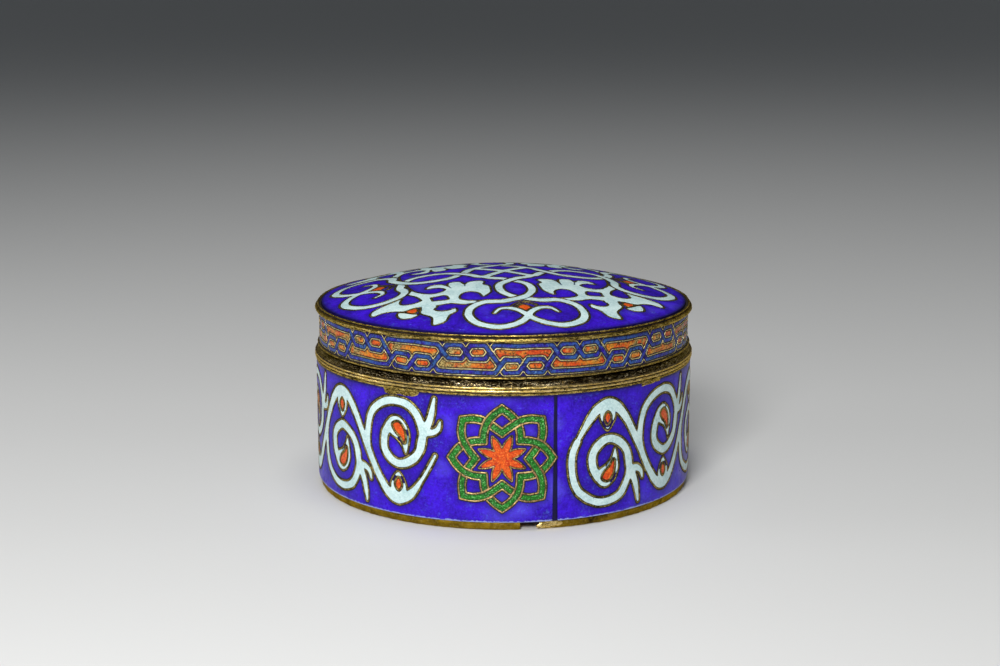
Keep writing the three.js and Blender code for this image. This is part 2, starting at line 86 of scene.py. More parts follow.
body_radius = outer_radius("vine_right")
wall_radius = outer_radius("body_wall")
collar_radius = outer_radius("inner_collar")
foot_radius = outer_radius("foot_ring")
lid_wall_radius = outer_radius("lid_wall")
bar_radius = outer_radius("band_bar_upper_1")
dome_radius = outer_radius("dome_enamel")
foot_top = top("foot_ring")
enamel_bottom = bottom("body_enamel")
enamel_top = top("body_enamel")
rim_bottom = bottom("body_rim")
rim_top = top("body_rim")
band_top = top("band_enamel")
dome_edge = top("lid_moulding")
apex = top("dome_cross")
panel_middle = (enamel_bottom + enamel_top) / 2

# The picture's band comes a little lower than the construction's, over a thinner rim
band_bottom = bottom("band_enamel") - 0.5
band_middle = (band_bottom + band_top) / 2

# Depth of the polished enamel under the construction model's outer surface, so that wires fit in it
POLISH = 0.1

# Space between a piece and the one inside it, and between the lid and the collar
CLEARANCE = 0.1
LID_PLAY = 0.3

# Radii of the upright faces behind the beads of the body's and the lid's mouldings
RIM_FACE = 49.8
LID_FACE = 49.2

# Azimuths that the picture shows, with those between which the foot is open
MEDALLION_AZIMUTH = -0.5
SEAM_AZIMUTH = 14.7
FOOT_GAP = (4.64, 10.9)
SOLDER_AZIMUTH = 11.2
BAND_AZIMUTH = 5.6

# How far the dome's ornament is turned, and how far the quarters next to the front are narrowed, in degrees
DOME_TURN = 9
DOME_SQUASH = 4.5

# Half the open seam's width at the top, and how much wider it is at the foot
SEAM_HALF = 0.42
SEAM_GROWTH = 0.26

BAND_REPEATS = 11

# Height of the strip of gilding under the body's beads
FILLET_HEIGHT = 0.6


# Unevenness


class Ripple:
    """Smooth seeded unevenness of a surface, about -1 to 1, over waves between two lengths."""

    def __init__(self, seed, shortest, longest, girth=0, count=24):
        rng = np.random.default_rng(seed)
        length = np.exp(rng.uniform(math.log(shortest), math.log(longest), count))
        heading = rng.uniform(0, 2 * math.pi, count)
        self.along = np.cos(heading) / length
        if girth:
            self.along = np.round(self.along * girth) / girth
        self.up = np.sin(heading) / length
        self.phase = rng.uniform(0, 2 * math.pi, count)

    def __call__(self, x, y):
        total = np.zeros(np.broadcast(x, y).shape)
        for along, up, phase in zip(self.along, self.up, self.phase):
            total = total + np.sin(2 * math.pi * (along * x + up * y) + phase)
        return total * math.sqrt(2 / len(self.phase)) * 0.6


# Meshes


def make_mesh(name, points, faces, material, crease=40):
    """An object with smooth faces, and sharp edges where they meet at more than crease degrees."""
    mesh = bpy.data.meshes.new(name)
    mesh.from_pydata((np.asarray(points) * MM).tolist(), [], faces)
    mesh.validate()
    mesh.polygons.foreach_set("use_smooth", [True] * len(mesh.polygons))
    mesh.set_sharp_from_angle(angle=math.radians(crease))
    mesh.materials.append(material)
    piece = bpy.data.objects.new(name, mesh)
    bpy.context.scene.collection.objects.link(piece)
    return piece


def marked(piece, near):
    """Writes on a mesh how near each of its points is to a wire, from 0 to 1."""
    piece.data.attributes.new("near_wire", "FLOAT", "POINT").data.foreach_set("value", near)
    return piece


def dressed(piece, body, slot, *nodes):
    """A piece that rides on a body and stands for the nodes it replaces, which it hides. The slot is not
    used.
    """
    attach(piece, body)
    if nodes:
        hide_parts(*nodes)
    return piece


def arc(radius_at, level_at, size, start, end, steps=8):
    """Points of a round stretch of a profile. Degrees run anticlockwise from straight outwards."""
    turns = np.radians(np.linspace(start, end, steps + 1))
    return [(radius_at + size * math.cos(t), level_at + size * math.sin(t)) for t in turns]


def densified(profile, longest):
    """A closed profile with points added so that no side is longer than a length."""
    points = []
    for (ra, za), (rb, zb) in zip(profile, profile[1:] + profile[:1]):
        steps = max(1, math.ceil(math.hypot(rb - ra, zb - za) / longest))
        points += [(ra + (rb - ra) * n / steps, za + (zb - za) * n / steps) for n in range(steps)]
    return points


def around(radius, azimuth, level):
    """Points at radii, azimuths in radians from the front, and levels."""
    radius, azimuth, level = np.broadcast_arrays(radius, azimuth, level)
    return np.stack([radius * np.sin(azimuth), -radius * np.cos(azimuth), level], axis=-1)


def turned(name, profile, material, columns=1100, start=0, sweep=360, uneven=None):
    """A turned piece. Its closed profile of (radius, level) runs anticlockwise, outwards first.

    uneven(girth, along) gives how far the surface stands out, in mm.
    """
    profile = np.array(profile, float)
    rows = len(profile)
    turns = np.radians(start + sweep * np.arange(columns if sweep == 360 else columns + 1) / columns)
    radius, level = profile.T
    if uneven:
        along = np.cumsum(np.r_[0, np.hypot(*np.diff(profile, axis=0).T)])
        out = uneven(turns[:, None] * radius.max(), along)
        side = np.roll(profile, -1, axis=0) - np.roll(profile, 1, axis=0)
        side /= np.maximum(np.hypot(*side.T), TINY)[:, None]
        radius = radius + out * side[:, 1]
        level = np.clip(level - out * side[:, 0], level.min(), level.max())
    faces = []
    for i in range(columns):
        here = i * rows
        there = (i + 1) % len(turns) * rows
        for j in range(rows):
            k = (j + 1) % rows
            first, second = profile[j, 0] > 0, profile[k, 0] > 0
            if first and second:
                faces.append((here + j, there + j, there + k, here + k))
            elif first:
                faces.append((here + j, there + j, k))
            elif second:
                faces.append((j, there + k, here + k))
    if sweep < 360:
        faces.append(tuple(range(rows)))
        faces.append(tuple(columns * rows + j for j in reversed(range(rows))))
    return make_mesh(name, around(radius, turns[:, None], level).reshape(-1, 3), faces, material)


def moulding(name, profile, material, seed, depth, sunk, bent=0, waves=(1.2, 8), longest=0.2):
    """A turned moulding, hammered and bent by two depths, and sunk a little to make room for both."""
    hammered = Ripple(seed, *waves, count=48)
    dented = Ripple(seed + 1, 15, 60)

    def uneven(x, y):
        return depth * hammered(x, y) + bent * dented(x, y) - sunk

    return turned(name, densified(profile, longest), material, uneven=uneven)


# Finishes


class Nodes:
    """A node tree whose nodes are made by short calls."""

    def __init__(self, tree, place):
        self.tree = tree
        self.place = self.node("TexCoord").outputs[place]

    def join(self, socket, value):
        """Sets a socket to a value, or links another socket to it."""
        if isinstance(value, bpy.types.NodeSocket):
            self.tree.links.new(value, socket)
        elif socket.type == "RGBA":
            socket.default_value = (*value, 1)
        else:
            socket.default_value = value

    def fill(self, node, **sockets):
        for name, value in sockets.items():
            self.join(node.inputs[name.replace("_", " ")], value)
        return node

    def node(self, kind, **sockets):
        return self.fill(self.tree.nodes.new("ShaderNode" + kind), **sockets)

    def worked(self, kind, operation, *values):
        """The outputs of a node that works something out from values or sockets."""
        node = self.node(kind)
        node.operation = operation
        for socket, value in zip(node.inputs, values):
            self.join(socket, value)
        return node.outputs

    def math(self, operation, *values):
        return self.worked("Math", operation, *values)[0]

    def ramp(self, value, low, high, start=0.0, end=1.0):
        """A value that runs from start to end while another runs from low to high."""
        node = self.node("MapRange", Value=value, From_Min=low, From_Max=high, To_Min=start, To_Max=end)
        return node.outputs["Result"]

    def height(self):
        return self.node("SeparateXYZ", Vector=self.place).outputs["Z"]


class Finish(Nodes):
    """A material whose colour is laid on in layers. Lengths of texture are in mm."""

    def __init__(self, name, **sockets):
        self.material = bpy.data.materials.new(name)
        self.material.use_nodes = True
        super().__init__(self.material.node_tree, "Object")
        self.shader = self.tree.nodes["Principled BSDF"]
        self.fill(self.shader, **sockets)

    def noise(self, length, detail=3, rough=0.55, distortion=0, vector=None):
        node = self.node(
            "TexNoise", Vector=vector or self.place, Scale=1 / (length * MM), Detail=detail,
            Roughness=rough, Distortion=distortion,
        )
        return node.outputs["Fac"]

    def patches(self, length, detail, rough, low, high, share=1.0, vector=None):
        """Noise that a ramp turns into patches, from 0 between them to a share in them."""
        return self.ramp(self.noise(length, detail, rough, vector=vector), low, high, 0, share)

    def cells(self, length):
        return self.node("TexVoronoi", Vector=self.place, Scale=1 / (length * MM)).outputs["Distance"]

    def pits(self, length, low, high, share):
        """Small round spots, from a share in them to 0 between them."""
        return self.ramp(self.cells(length), low, high, share, 0)

    def mix(self, share, first, second):
        node = self.node("Mix")
        node.data_type = "RGBA"
        for number, value in ((0, share), (6, first), (7, second)):
            self.join(node.inputs[number], value)
        return node.outputs[2]

    def tones(self, share, first, second):
        """Starts the colour with two tones."""
        self.color = self.mix(share, first, second)

    def over(self, share, color):
        """Lays a colour over the ones before, by a share."""
        self.color = self.mix(share, self.color, color)

    def stretched(self, share):
        """Places in which what repeats is this many times shorter upwards than along the girth."""
        return self.worked("VectorMath", "MULTIPLY", self.place, (1, 1, share))[0]

    def near(self, radius, azimuth, level, size, strength):
        """A value that fades from its strength to nothing within a size of one place on the body."""
        turn = math.radians(azimuth)
        spot = Vector((radius * math.sin(turn), -radius * math.cos(turn), level)) * MM
        away = self.worked("VectorMath", "DISTANCE", self.place, spot)["Value"]
        return self.ramp(away, 0, size * MM, strength, 0)

    def chipped_edge(self, level, height):
        """A ragged line along an edge that lies at a level."""
        ragged = self.ramp(self.noise(0.9, 3, 0.6), 0.35, 0.65, 0.3 * height * MM, 1.4 * height * MM)
        over = self.math("SUBTRACT", self.height(), ragged)
        return self.ramp(over, (level - 0.05) * MM, (level + 0.05) * MM, 0.75, 0)

    def near_wire(self, start, end, share):
        """A value that grows to a share as a surface comes near the wires, by the mark on its mesh."""
        node = self.node("Attribute")
        node.attribute_name = "near_wire"
        return self.ramp(node.outputs["Fac"], start, end, 0, share)

    def bump(self, height, depth):
        """Relief of a given depth in mm. Each call is laid over the one before."""
        node = self.node("Bump", Strength=1.0, Distance=depth * MM, Height=height)
        before = self.shader.inputs["Normal"].links
        if before:
            self.join(node.inputs["Normal"], before[0].from_socket)
        self.join(self.shader.inputs["Normal"], node.outputs["Normal"])

    def done(self, roughness):
        """The material, with the colour as laid on so far."""
        self.fill(self.shader, Base_Color=self.color, Roughness=roughness)
        return self.material

    def polished(self, roughness, pit_depth=0.05):
        """The material, with the waves, the orange peel and the small pits of hand polish."""
        self.bump(self.noise(6, 2), 0.10)
        self.bump(self.noise(1.3, 2), 0.045)
        self.bump(self.noise(0.45, 3), 0.03)
        self.bump(self.ramp(self.cells(1.5), 0.0, 0.14), pit_depth)
        return self.done(roughness)


def enamel(name, coat=0.1, coat_roughness=0.14, gloss=0.2):
    return Finish(name, Coat_Weight=coat, Coat_Roughness=coat_roughness, Specular_IOR_Level=gloss)


# Milky places in the body's cobalt, partly milky glass and partly painted sheen of the lamps: azimuth, level
# and size
MILKY_AND_SHEEN_PATCHES = [
    (-15.5, 27, 7), (-18, 16, 5), (-30, 18, 6), (15.5, 26, 4), (13.5, 10, 5), (20, 17, 4),
    (60, 20, 8), (110, 26, 8), (150, 14, 7), (185, 26, 7), (215, 15, 6), (265, 22, 9), (305, 12, 6),
]

# Tint of the gilding where it is seen at a slant
GOLDEN_EDGE = (1.0, 0.80, 0.42)


def cobalt_finish():
    """Deep blue glass with milky patches, fine pale grains and dark pits, with painted sheen in the milky
    places, painted glints beside the wires, and painted shade beside the wires and under the mouldings.
    """
    finish = enamel("cobalt_enamel", 0.05, 0.10, 0.16)
    clouds = finish.ramp(finish.noise(8, 4, 0.6, 0.4), 0.38, 0.64)
    finish.tones(clouds, (0.016, 0.0004, 0.22), (0.040, 0.0016, 0.57))
    finish.over(finish.patches(0.6, 4, 0.8, 0.44, 0.66, 0.7), (0.052, 0.016, 0.66))
    finish.over(finish.patches(0.75, 3, 0.7, 0.52, 0.66, 0.55), (0.010, 0.0004, 0.17))
    # Milky clouds, partly the glass's own and partly painted sheen of the lamps, strongest at the listed
    # places
    milky_and_sheen = finish.noise(15, 3, 0.5)
    for azimuth, level, size in MILKY_AND_SHEEN_PATCHES:
        milky_and_sheen = finish.math("ADD", milky_and_sheen, finish.near(body_radius, azimuth, level, size, 0.24))
    finish.over(finish.ramp(milky_and_sheen, 0.56, 0.82, 0, 0.6), (0.105, 0.095, 0.66))
    # Pale azure clusters in the glass, with more of them beside the wires as painted glints
    azure_and_glint = finish.math("ADD", finish.noise(2.6, 3, 0.6), finish.near_wire(0.3, 0.9, 0.14))
    azure_and_glint = finish.math("ADD", azure_and_glint, finish.noise(0.5, 2, 0.5))
    finish.over(finish.ramp(azure_and_glint, 1.14, 1.40, 0, 0.5), (0.075, 0.155, 0.66))
    finish.over(finish.pits(4.5, 0.02, 0.04, 0.6), (0.30, 0.36, 0.80))
    # Painted shade: the ground darkens beside the wires and under the mouldings, by the near_wire mark
    finish.over(finish.near_wire(0.0, 0.7, 0.55), (0.010, 0.0004, 0.17))
    finish.over(finish.near_wire(0.74, 0.97, 0.9), (0.004, 0.001, 0.045))
    finish.over(finish.pits(1.9, 0.05, 0.09, 0.7), (0.006, 0.001, 0.06))
    finish.over(finish.chipped_edge(enamel_bottom, 0.35), (0.30, 0.36, 0.62))
    material = finish.polished(finish.ramp(finish.noise(2.5, 3), 0.3, 0.7, 0.26, 0.46))
    finish.bump(finish.near_wire(0.62, 1.0, 1.0), 0.04)
    return material


def seam_shade_finish():
    # Near-black: painted shade at the bottom of the open seam
    finish = Finish("seam_painted_shade", Specular_IOR_Level=0.2)
    finish.tones(finish.noise(1.6), (0.002, 0.001, 0.012), (0.006, 0.004, 0.060))
    return finish.polished(0.5)


def pale_finish():
    finish = enamel("pale_enamel", gloss=0.25)
    finish.tones(finish.patches(5, 4, 0.6, 0.36, 0.66), (0.34, 0.52, 0.53), (0.55, 0.71, 0.69))
    finish.over(finish.patches(0.6, 4, 0.75, 0.40, 0.66, 0.75), (0.67, 0.80, 0.79))
    finish.over(finish.patches(0.45, 2, 0.5, 0.58, 0.72, 0.6), (0.27, 0.47, 0.47))
    finish.over(finish.pits(2.1, 0.05, 0.10, 0.6), (0.08, 0.13, 0.13))
    # Painted shade along the cells' edges beside the wires
    finish.over(finish.near_wire(0.3, 1.0, 0.85), (0.10, 0.21, 0.22))
    return finish.polished(finish.ramp(finish.noise(2.5, 3), 0.3, 0.7, 0.26, 0.44))


def green_finish():
    """Clear green over pale ground, which shows through as a sparkle."""
    finish = enamel("green_enamel")
    finish.tones(finish.patches(0.8, 4, 0.8, 0.38, 0.62), (0.002, 0.050, 0.002), (0.010, 0.19, 0.008))
    finish.over(finish.patches(0.42, 3, 0.6, 0.54, 0.66), (0.13, 0.46, 0.12))
    finish.over(finish.patches(0.30, 2, 0.5, 0.66, 0.74), (0.45, 0.72, 0.45))
    # Painted shade along the cells' edges beside the wires
    finish.over(finish.near_wire(0.0, 0.9, 0.9), (0.001, 0.018, 0.002))
    return finish.polished(0.34, 0.06)


def orange_finish():
    finish = enamel("orange_enamel", coat_roughness=0.2)
    finish.tones(finish.patches(1.6, 5, 0.75, 0.38, 0.62), (0.50, 0.030, 0.003), (0.70, 0.105, 0.005))
    finish.over(finish.patches(0.55, 3, 0.7, 0.50, 0.66, 0.6), (0.24, 0.018, 0.002))
    finish.over(finish.patches(0.4, 2, 0.5, 0.56, 0.70, 0.7), (0.78, 0.27, 0.045))
    finish.over(finish.pits(1.0, 0.07, 0.13, 0.8), (0.06, 0.022, 0.008))
    # Painted shade along the cells' edges beside the wires
    finish.over(finish.near_wire(0.1, 0.9, 0.85), (0.12, 0.008, 0.001))
    return finish.polished(0.38, 0.07)


def amber_finish(name, deep, bright):
    """Orange enamel of the band, in places worn down to the gilt metal under it."""
    finish = enamel(name, coat_roughness=0.2)
    finish.tones(finish.patches(3.5, 3, 0.7, 0.42, 0.58), deep, bright)
    finish.over(finish.patches(0.45, 3, 0.6, 0.50, 0.68, 0.7), (0.62, 0.27, 0.04))
    finish.over(finish.patches(0.6, 3, 0.7, 0.50, 0.62, 0.92), (0.035, 0.022, 0.006))
    # Painted shade along the cells' edges beside the wires
    finish.over(finish.near_wire(0.1, 0.8, 0.92), (0.040, 0.009, 0.002))
    bare = finish.mix(finish.patches(0.4, 3, 0.7, 0.42, 0.6), (0.10, 0.07, 0.018), (0.62, 0.46, 0.17))
    worn = finish.patches(7, 3, 0.6, 0.55, 0.63)
    finish.over(worn, bare)
    finish.fill(finish.shader, Metallic=finish.ramp(worn, 0, 1, 0, 0.85))
    return finish.polished(0.34, 0.07)


def strap_finish():
    finish = enamel("band_blue_enamel", 0.08)
    finish.tones(finish.patches(2.6, 4, 0.65, 0.40, 0.60), (0.018, 0.0008, 0.25), (0.016, 0.070, 0.24))
    finish.over(finish.patches(0.5, 3, 0.7, 0.50, 0.68, 0.6), (0.060, 0.15, 0.40))
    # Painted glints: small pale blue specks that stand in for highlights
    finish.over(finish.patches(0.38, 2, 0.6, 0.64, 0.72, 0.8), (0.22, 0.40, 0.62))
    finish.over(finish.patches(0.7, 3, 0.7, 0.50, 0.62, 0.92), (0.003, 0.003, 0.030))
    # Painted shade along the straps' edges beside the wires
    finish.over(finish.near_wire(0.1, 0.8, 0.95), (0.002, 0.003, 0.030))
    return finish.polished(0.34, 0.07)


def lining_finish():
    finish = enamel("counter_enamel", 0.4, 0.2, 0.5)
    finish.tones(finish.patches(12, 5, 0.6, 0.35, 0.68), (0.030, 0.16, 0.21), (0.06, 0.27, 0.31))
    finish.over(finish.patches(0.9, 4, 0.7, 0.5, 0.75, 0.5), (0.14, 0.38, 0.40))
    finish.over(finish.pits(3.2, 0.03, 0.06, 0.8), (0.02, 0.06, 0.08))
    return finish.polished(0.3)


def gilt_finish(name, bright, dull, patina, wear, streak=3.0, roughness=(0.24, 0.6), relief=1.0):
    """Worn gilding: bright metal, duller metal and dark patina in fine streaks along the girth.

    The more wear, from 0 to 1, the more of it lies under patina.
    """
    finish = Finish(name, Metallic=1.0, Specular_Tint=GOLDEN_EDGE)
    drawn = finish.stretched(streak)
    fine = finish.math("MULTIPLY", finish.noise(0.8, 5, 0.75, vector=drawn), 0.45)
    speckle = finish.math("MULTIPLY", finish.noise(0.35, 3, 0.7), 0.35)
    coarse = finish.math("MULTIPLY", finish.noise(5, 3, 0.6, vector=drawn), 0.20)
    dirt = finish.math("ADD", finish.math("ADD", fine, speckle), coarse)
    middle = 0.60 - 0.2 * wear
    finish.tones(finish.patches(1.4, 4, 0.7, 0.38, 0.62, vector=drawn), bright, dull)
    finish.over(finish.ramp(dirt, middle - 0.045, middle + 0.065), patina)
    finish.bump(finish.noise(0.4, 4, 0.7), 0.12 * relief)
    finish.bump(finish.noise(1.2, 3, 0.6, vector=drawn), 0.16 * relief)
    return finish.done(finish.ramp(dirt, 0.38, 0.62, *roughness))


def foot_finish():
    """Plain dark gold, smoother than the mouldings, with a few dark stains."""
    finish = Finish("foot_gilt", Metallic=1.0, Specular_Tint=GOLDEN_EDGE)
    tone = finish.patches(3, 4, 0.6, 0.36, 0.64, vector=finish.stretched(2.0))
    finish.tones(tone, (0.33, 0.21, 0.014), (0.14, 0.085, 0.006))
    finish.over(finish.patches(0.5, 4, 0.7, 0.52, 0.68, 0.6), (0.46, 0.34, 0.10))
    finish.over(finish.patches(7, 4, 0.65, 0.60, 0.70), (0.035, 0.022, 0.006))
    finish.bump(finish.noise(0.45, 4, 0.7), 0.06)
    finish.bump(finish.noise(2.2, 2), 0.16)
    return finish.done(finish.ramp(finish.noise(1.5, 4, 0.7), 0.3, 0.7, 0.30, 0.52))


def metal_finish(name, bright, dark):
    finish = Finish(name, Metallic=1.0)
    finish.tones(finish.patches(5, 5, 0.65, 0.35, 0.68), bright, dark)
    finish.bump(finish.noise(1.2, 4, 0.6), 0.05)
    return finish.done(finish.ramp(finish.noise(2, 4), 0.3, 0.7, 0.32, 0.52))


# A near-black finish, partly settled dirt and partly painted shade, for the strips beside the wires and the
# grooves of the mouldings
def dirt_and_shade_finish():
    finish = Finish("dirt_and_painted_shade", Specular_IOR_Level=0.2)
    finish.tones(finish.noise(0.8, 3), (0.004, 0.003, 0.010), (0.030, 0.022, 0.012))
    finish.bump(finish.noise(0.5, 3), 0.04)
    return finish.done(0.7)


COBALT = cobalt_finish()
SEAM_SHADE = seam_shade_finish()
PALE = pale_finish()
GREEN = green_finish()
ORANGE = orange_finish()
AMBER = amber_finish("amber_enamel", (0.50, 0.042, 0.004), (0.56, 0.215, 0.014))
LOZENGE = amber_finish("lozenge_enamel", (0.58, 0.050, 0.004), (0.60, 0.190, 0.016))
STRAP = strap_finish()
DIRT_AND_SHADE = dirt_and_shade_finish()
GILT = gilt_finish(
    "gilt", (1.0, 0.78, 0.34), (0.68, 0.46, 0.095), (0.030, 0.018, 0.003), 0.38,
    roughness=(0.20, 0.50), relief=0.40,
)
SHOULDER_GILT = gilt_finish(
    "shoulder_gilt", (1.0, 0.84, 0.52), (0.38, 0.24, 0.05), (0.007, 0.004, 0.001), 0.82,
    roughness=(0.18, 0.55), relief=1.2,
)
OLIVE_GILT = gilt_finish(
    "olive_gilt", (0.88, 0.66, 0.20), (0.38, 0.25, 0.04), (0.016, 0.010, 0.002), 0.56,
    roughness=(0.22, 0.50), relief=0.55,
)
WIRE = gilt_finish("wire_gilt", (0.56, 0.43, 0.13), (0.20, 0.14, 0.03), (0.020, 0.014, 0.005), 0.5, 1.0)
BRIGHT_WIRE = gilt_finish(
    "bright_wire_gilt", (1.0, 0.90, 0.52), (0.62, 0.51, 0.20), (0.03, 0.024, 0.008), 0.32, 1.0,
    roughness=(0.36, 0.6),
)
MEDALLION_WIRE = gilt_finish(
    "medallion_wire_gilt", (0.66, 0.46, 0.20), (0.34, 0.22, 0.08), (0.03, 0.018, 0.006), 0.4, 1.0
)
FOOT_GILT = foot_finish()
COPPER = metal_finish("copper", (0.62, 0.30, 0.15), (0.20, 0.085, 0.045))
COLLAR_GILT = metal_finish("collar_gilt", (0.80, 0.55, 0.23), (0.38, 0.22, 0.08))
LINING = lining_finish()


# Flat drawings: lines, and fields of signed distances that are negative inside the drawn cells

GRID = 0.1
FAR = 9.0

# How far out from its cells a field is worked out. Farther out it says only that they are far.
REACH = 2.2


def smooth(points, spacing=0.35, closed=False):
    """Points at short steps along a smooth line through the given ones."""
    p = np.array(points, float)
    if closed:
        p = np.vstack([p[-1:], p, p[:2]])
    h = np.linalg.norm(np.diff(p, axis=0), axis=1)[:, None]
    slope = np.diff(p, axis=0) / h
    inner = (slope[:-1] * h[1:] + slope[1:] * h[:-1]) / (h[1:] + h[:-1])
    tangent = np.vstack([slope[:1], inner, slope[-1:]])
    first, last = (1, len(p) - 2) if closed else (0, len(p) - 1)
    parts = []
    for i in range(first, last):
        steps = max(1, math.ceil(h[i, 0] / spacing))
        t = np.arange(steps)[:, None] / steps
        from_start = (1 + 2 * t) * (1 - t) ** 2 * p[i] + t * (1 - t) ** 2 * h[i] * tangent[i]
        from_end = t**2 * (3 - 2 * t) * p[i + 1] - t**2 * (1 - t) * h[i] * tangent[i + 1]
        parts.append(from_start + from_end)
    if not closed:
        parts.append(p[last : last + 1])
    return np.vstack(parts)


def mirrored(points):
    return np.array(points, float) * (-1, 1)


def rotated(points, degrees):
    """Points turned clockwise about the drawing's origin."""
    turn = math.radians(degrees)
    p = np.array(points, float)
    x = p[:, 0] * math.cos(turn) + p[:, 1] * math.sin(turn)
    y = -p[:, 0] * math.sin(turn) + p[:, 1] * math.cos(turn)
    return np.stack([x, y], axis=1)


def tapered(line, width, end_share, power=3):
    """Half widths along a line that narrows towards its end, to a share of its width."""
    along = np.linspace(0, 1, len(line))
    return width / 2 * (1 - (1 - end_share) * along**power)


def from_segment(x, y, a, b):
    """Distances to a segment, and how far along it the nearest point lies."""
    dx, dy = b[0] - a[0], b[1] - a[1]
    square = max(dx * dx + dy * dy, TINY)
    t = np.clip(((x - a[0]) * dx + (y - a[1]) * dy) / square, 0, 1)
    return np.hypot(x - a[0] - t * dx, y - a[1] - t * dy), t


class Field:
    def __init__(self, left, right, low, high, step=GRID):
        self.step = step
        self.x = np.arange(left, right + step, step)
        self.y = np.arange(low, high + step, step)
        self.d = np.full((len(self.y), len(self.x)), FAR)

    def blank(self):
        other = Field.__new__(Field)
        other.step, other.x, other.y = self.step, self.x, self.y
        other.d = np.full(self.d.shape, FAR)
        return other

    def window(self, points, margin):
        low = np.min(points, axis=0) - margin
        high = np.max(points, axis=0) + margin
        cols = slice(*np.searchsorted(self.x, (low[0], high[0])))
        rows = slice(*np.searchsorted(self.y, (low[1], high[1])))
        return rows, cols, *np.meshgrid(self.x[cols], self.y[rows])

    def strand(self, line, half_width):
        """Adds a strap along a line. The half width is one value, or one for each point."""
        line = np.asarray(line, float)
        half = np.broadcast_to(half_width, len(line))
        margin = half.max() + REACH
        for a, b, wide_a, wide_b in zip(line, line[1:], half, half[1:]):
            rows, cols, x, y = self.window([a, b], margin)
            distance, t = from_segment(x, y, a, b)
            distance -= wide_a + (wide_b - wide_a) * t
            self.d[rows, cols] = np.minimum(self.d[rows, cols], distance)
        return self

    def signed(self, outline):
        """Signed distances to a closed outline, in the window round it."""
        outline = np.asarray(outline, float)
        rows, cols, x, y = self.window(outline, REACH)
        distance = np.full(x.shape, FAR)
        inside = np.zeros(x.shape, bool)
        for a, b in zip(outline, np.roll(outline, -1, axis=0)):
            distance = np.minimum(distance, from_segment(x, y, a, b)[0])
            if a[1] != b[1]:
                crossing = (b[0] - a[0]) * (y - a[1]) / (b[1] - a[1]) + a[0]
                inside ^= ((a[1] > y) != (b[1] > y)) & (x < crossing)
        return rows, cols, np.where(inside, -distance, distance)

    def patch(self, outline):
        """Adds a closed outline's inside."""
        rows, cols, signed = self.signed(outline)
        self.d[rows, cols] = np.minimum(self.d[rows, cols], signed)
        return self

    def hole(self, outline):
        """Takes a closed outline's inside away."""
        rows, cols, signed = self.signed(outline)
        self.d[rows, cols] = np.maximum(self.d[rows, cols], -signed)
        return self

    def under(self, over, gap, at=None, reach=0):
        """Cuts this drawing where another passes over it, everywhere or near one point."""
        if at is None:
            self.d = np.maximum(self.d, gap - over.d)
            return self
        rows, cols, x, y = self.window([at], reach)
        near = np.hypot(x - at[0], y - at[1]) < reach
        cut = np.maximum(self.d[rows, cols], gap - over.d[rows, cols])
        self.d[rows, cols] = np.where(near, cut, self.d[rows, cols])
        return self

    def add(self, *others):
        for other in others:
            self.d = np.minimum(self.d, other.d)
        return self

    def roughened(self, seed, depth):
        """Makes the edges a little uneven, as bent and soldered wire is."""
        x, y = np.meshgrid(self.x, self.y)
        self.d = self.d + depth * Ripple(seed, 2.5, 9)(x, y)
        return self

    def value(self, points):
        """The field's values at points, read between the grid's own."""
        col = (points[:, 0] - self.x[0]) / self.step
        row = (points[:, 1] - self.y[0]) / self.step
        j = np.clip(col.astype(int), 0, len(self.x) - 2)
        i = np.clip(row.astype(int), 0, len(self.y) - 2)
        u, v = col - j, row - i
        low = self.d[i, j] * (1 - u) + self.d[i, j + 1] * u
        high = self.d[i + 1, j] * (1 - u) + self.d[i + 1, j + 1] * u
        return low * (1 - v) + high * v


# How a contour crosses a grid square, by which of its corners lie inside: 1 low left, 2 low right,
# 4 high right and 8 high left. Each crossing runs with the inside on its left.
CROSSINGS = {
    1: ["BL"], 2: ["RB"], 3: ["RL"], 4: ["TR"], 5: ["BL", "TR"], 6: ["TB"], 7: ["TL"],
    8: ["LT"], 9: ["BT"], 10: ["RB", "LT"], 11: ["RT"], 12: ["LR"], 13: ["BR"], 14: ["LB"],
}


def contours(field, value, spacing=0.3):
    """Closed lines along which a field has one value, anticlockwise round its inside."""
    d = field.d - value
    d[0], d[-1], d[:, 0], d[:, -1] = FAR, FAR, FAR, FAR
    inside = d < 0
    case = inside[:-1, :-1] + 2 * inside[:-1, 1:] + 4 * inside[1:, 1:] + 8 * inside[1:, :-1]
    width = d.shape[1]
    offsets = {"B": (0, 0, 0), "T": (1, 0, 0), "L": (0, 0, 1), "R": (0, 1, 1)}
    following = {}
    for number, steps in CROSSINGS.items():
        rows, cols = np.nonzero(case == number)
        for start, end in steps:
            edges = []
            for side in (start, end):
                up, right, upright = offsets[side]
                edges.append(2 * ((rows + up) * width + cols + right) + upright)
            following.update(zip(edges[0].tolist(), edges[1].tolist()))
    loops = []
    while following:
        edge, after = following.popitem()
        loop = [edge]
        while after != edge:
            loop.append(after)
            after = following.pop(after)
        edges = np.array(loop)
        row, col = np.divmod(edges // 2, width)
        upright = edges % 2
        first = d[row, col]
        second = d[row + upright, col + 1 - upright]
        share = first / (first - second)
        x = field.x[0] + field.step * (col + share * (1 - upright))
        y = field.y[0] + field.step * (row + share * upright)
        loops.append(resampled(np.stack([x, y], axis=1), spacing))
    return sorted((loop for loop in loops if len(loop) > 5), key=lambda loop: tuple(loop.min(0)))


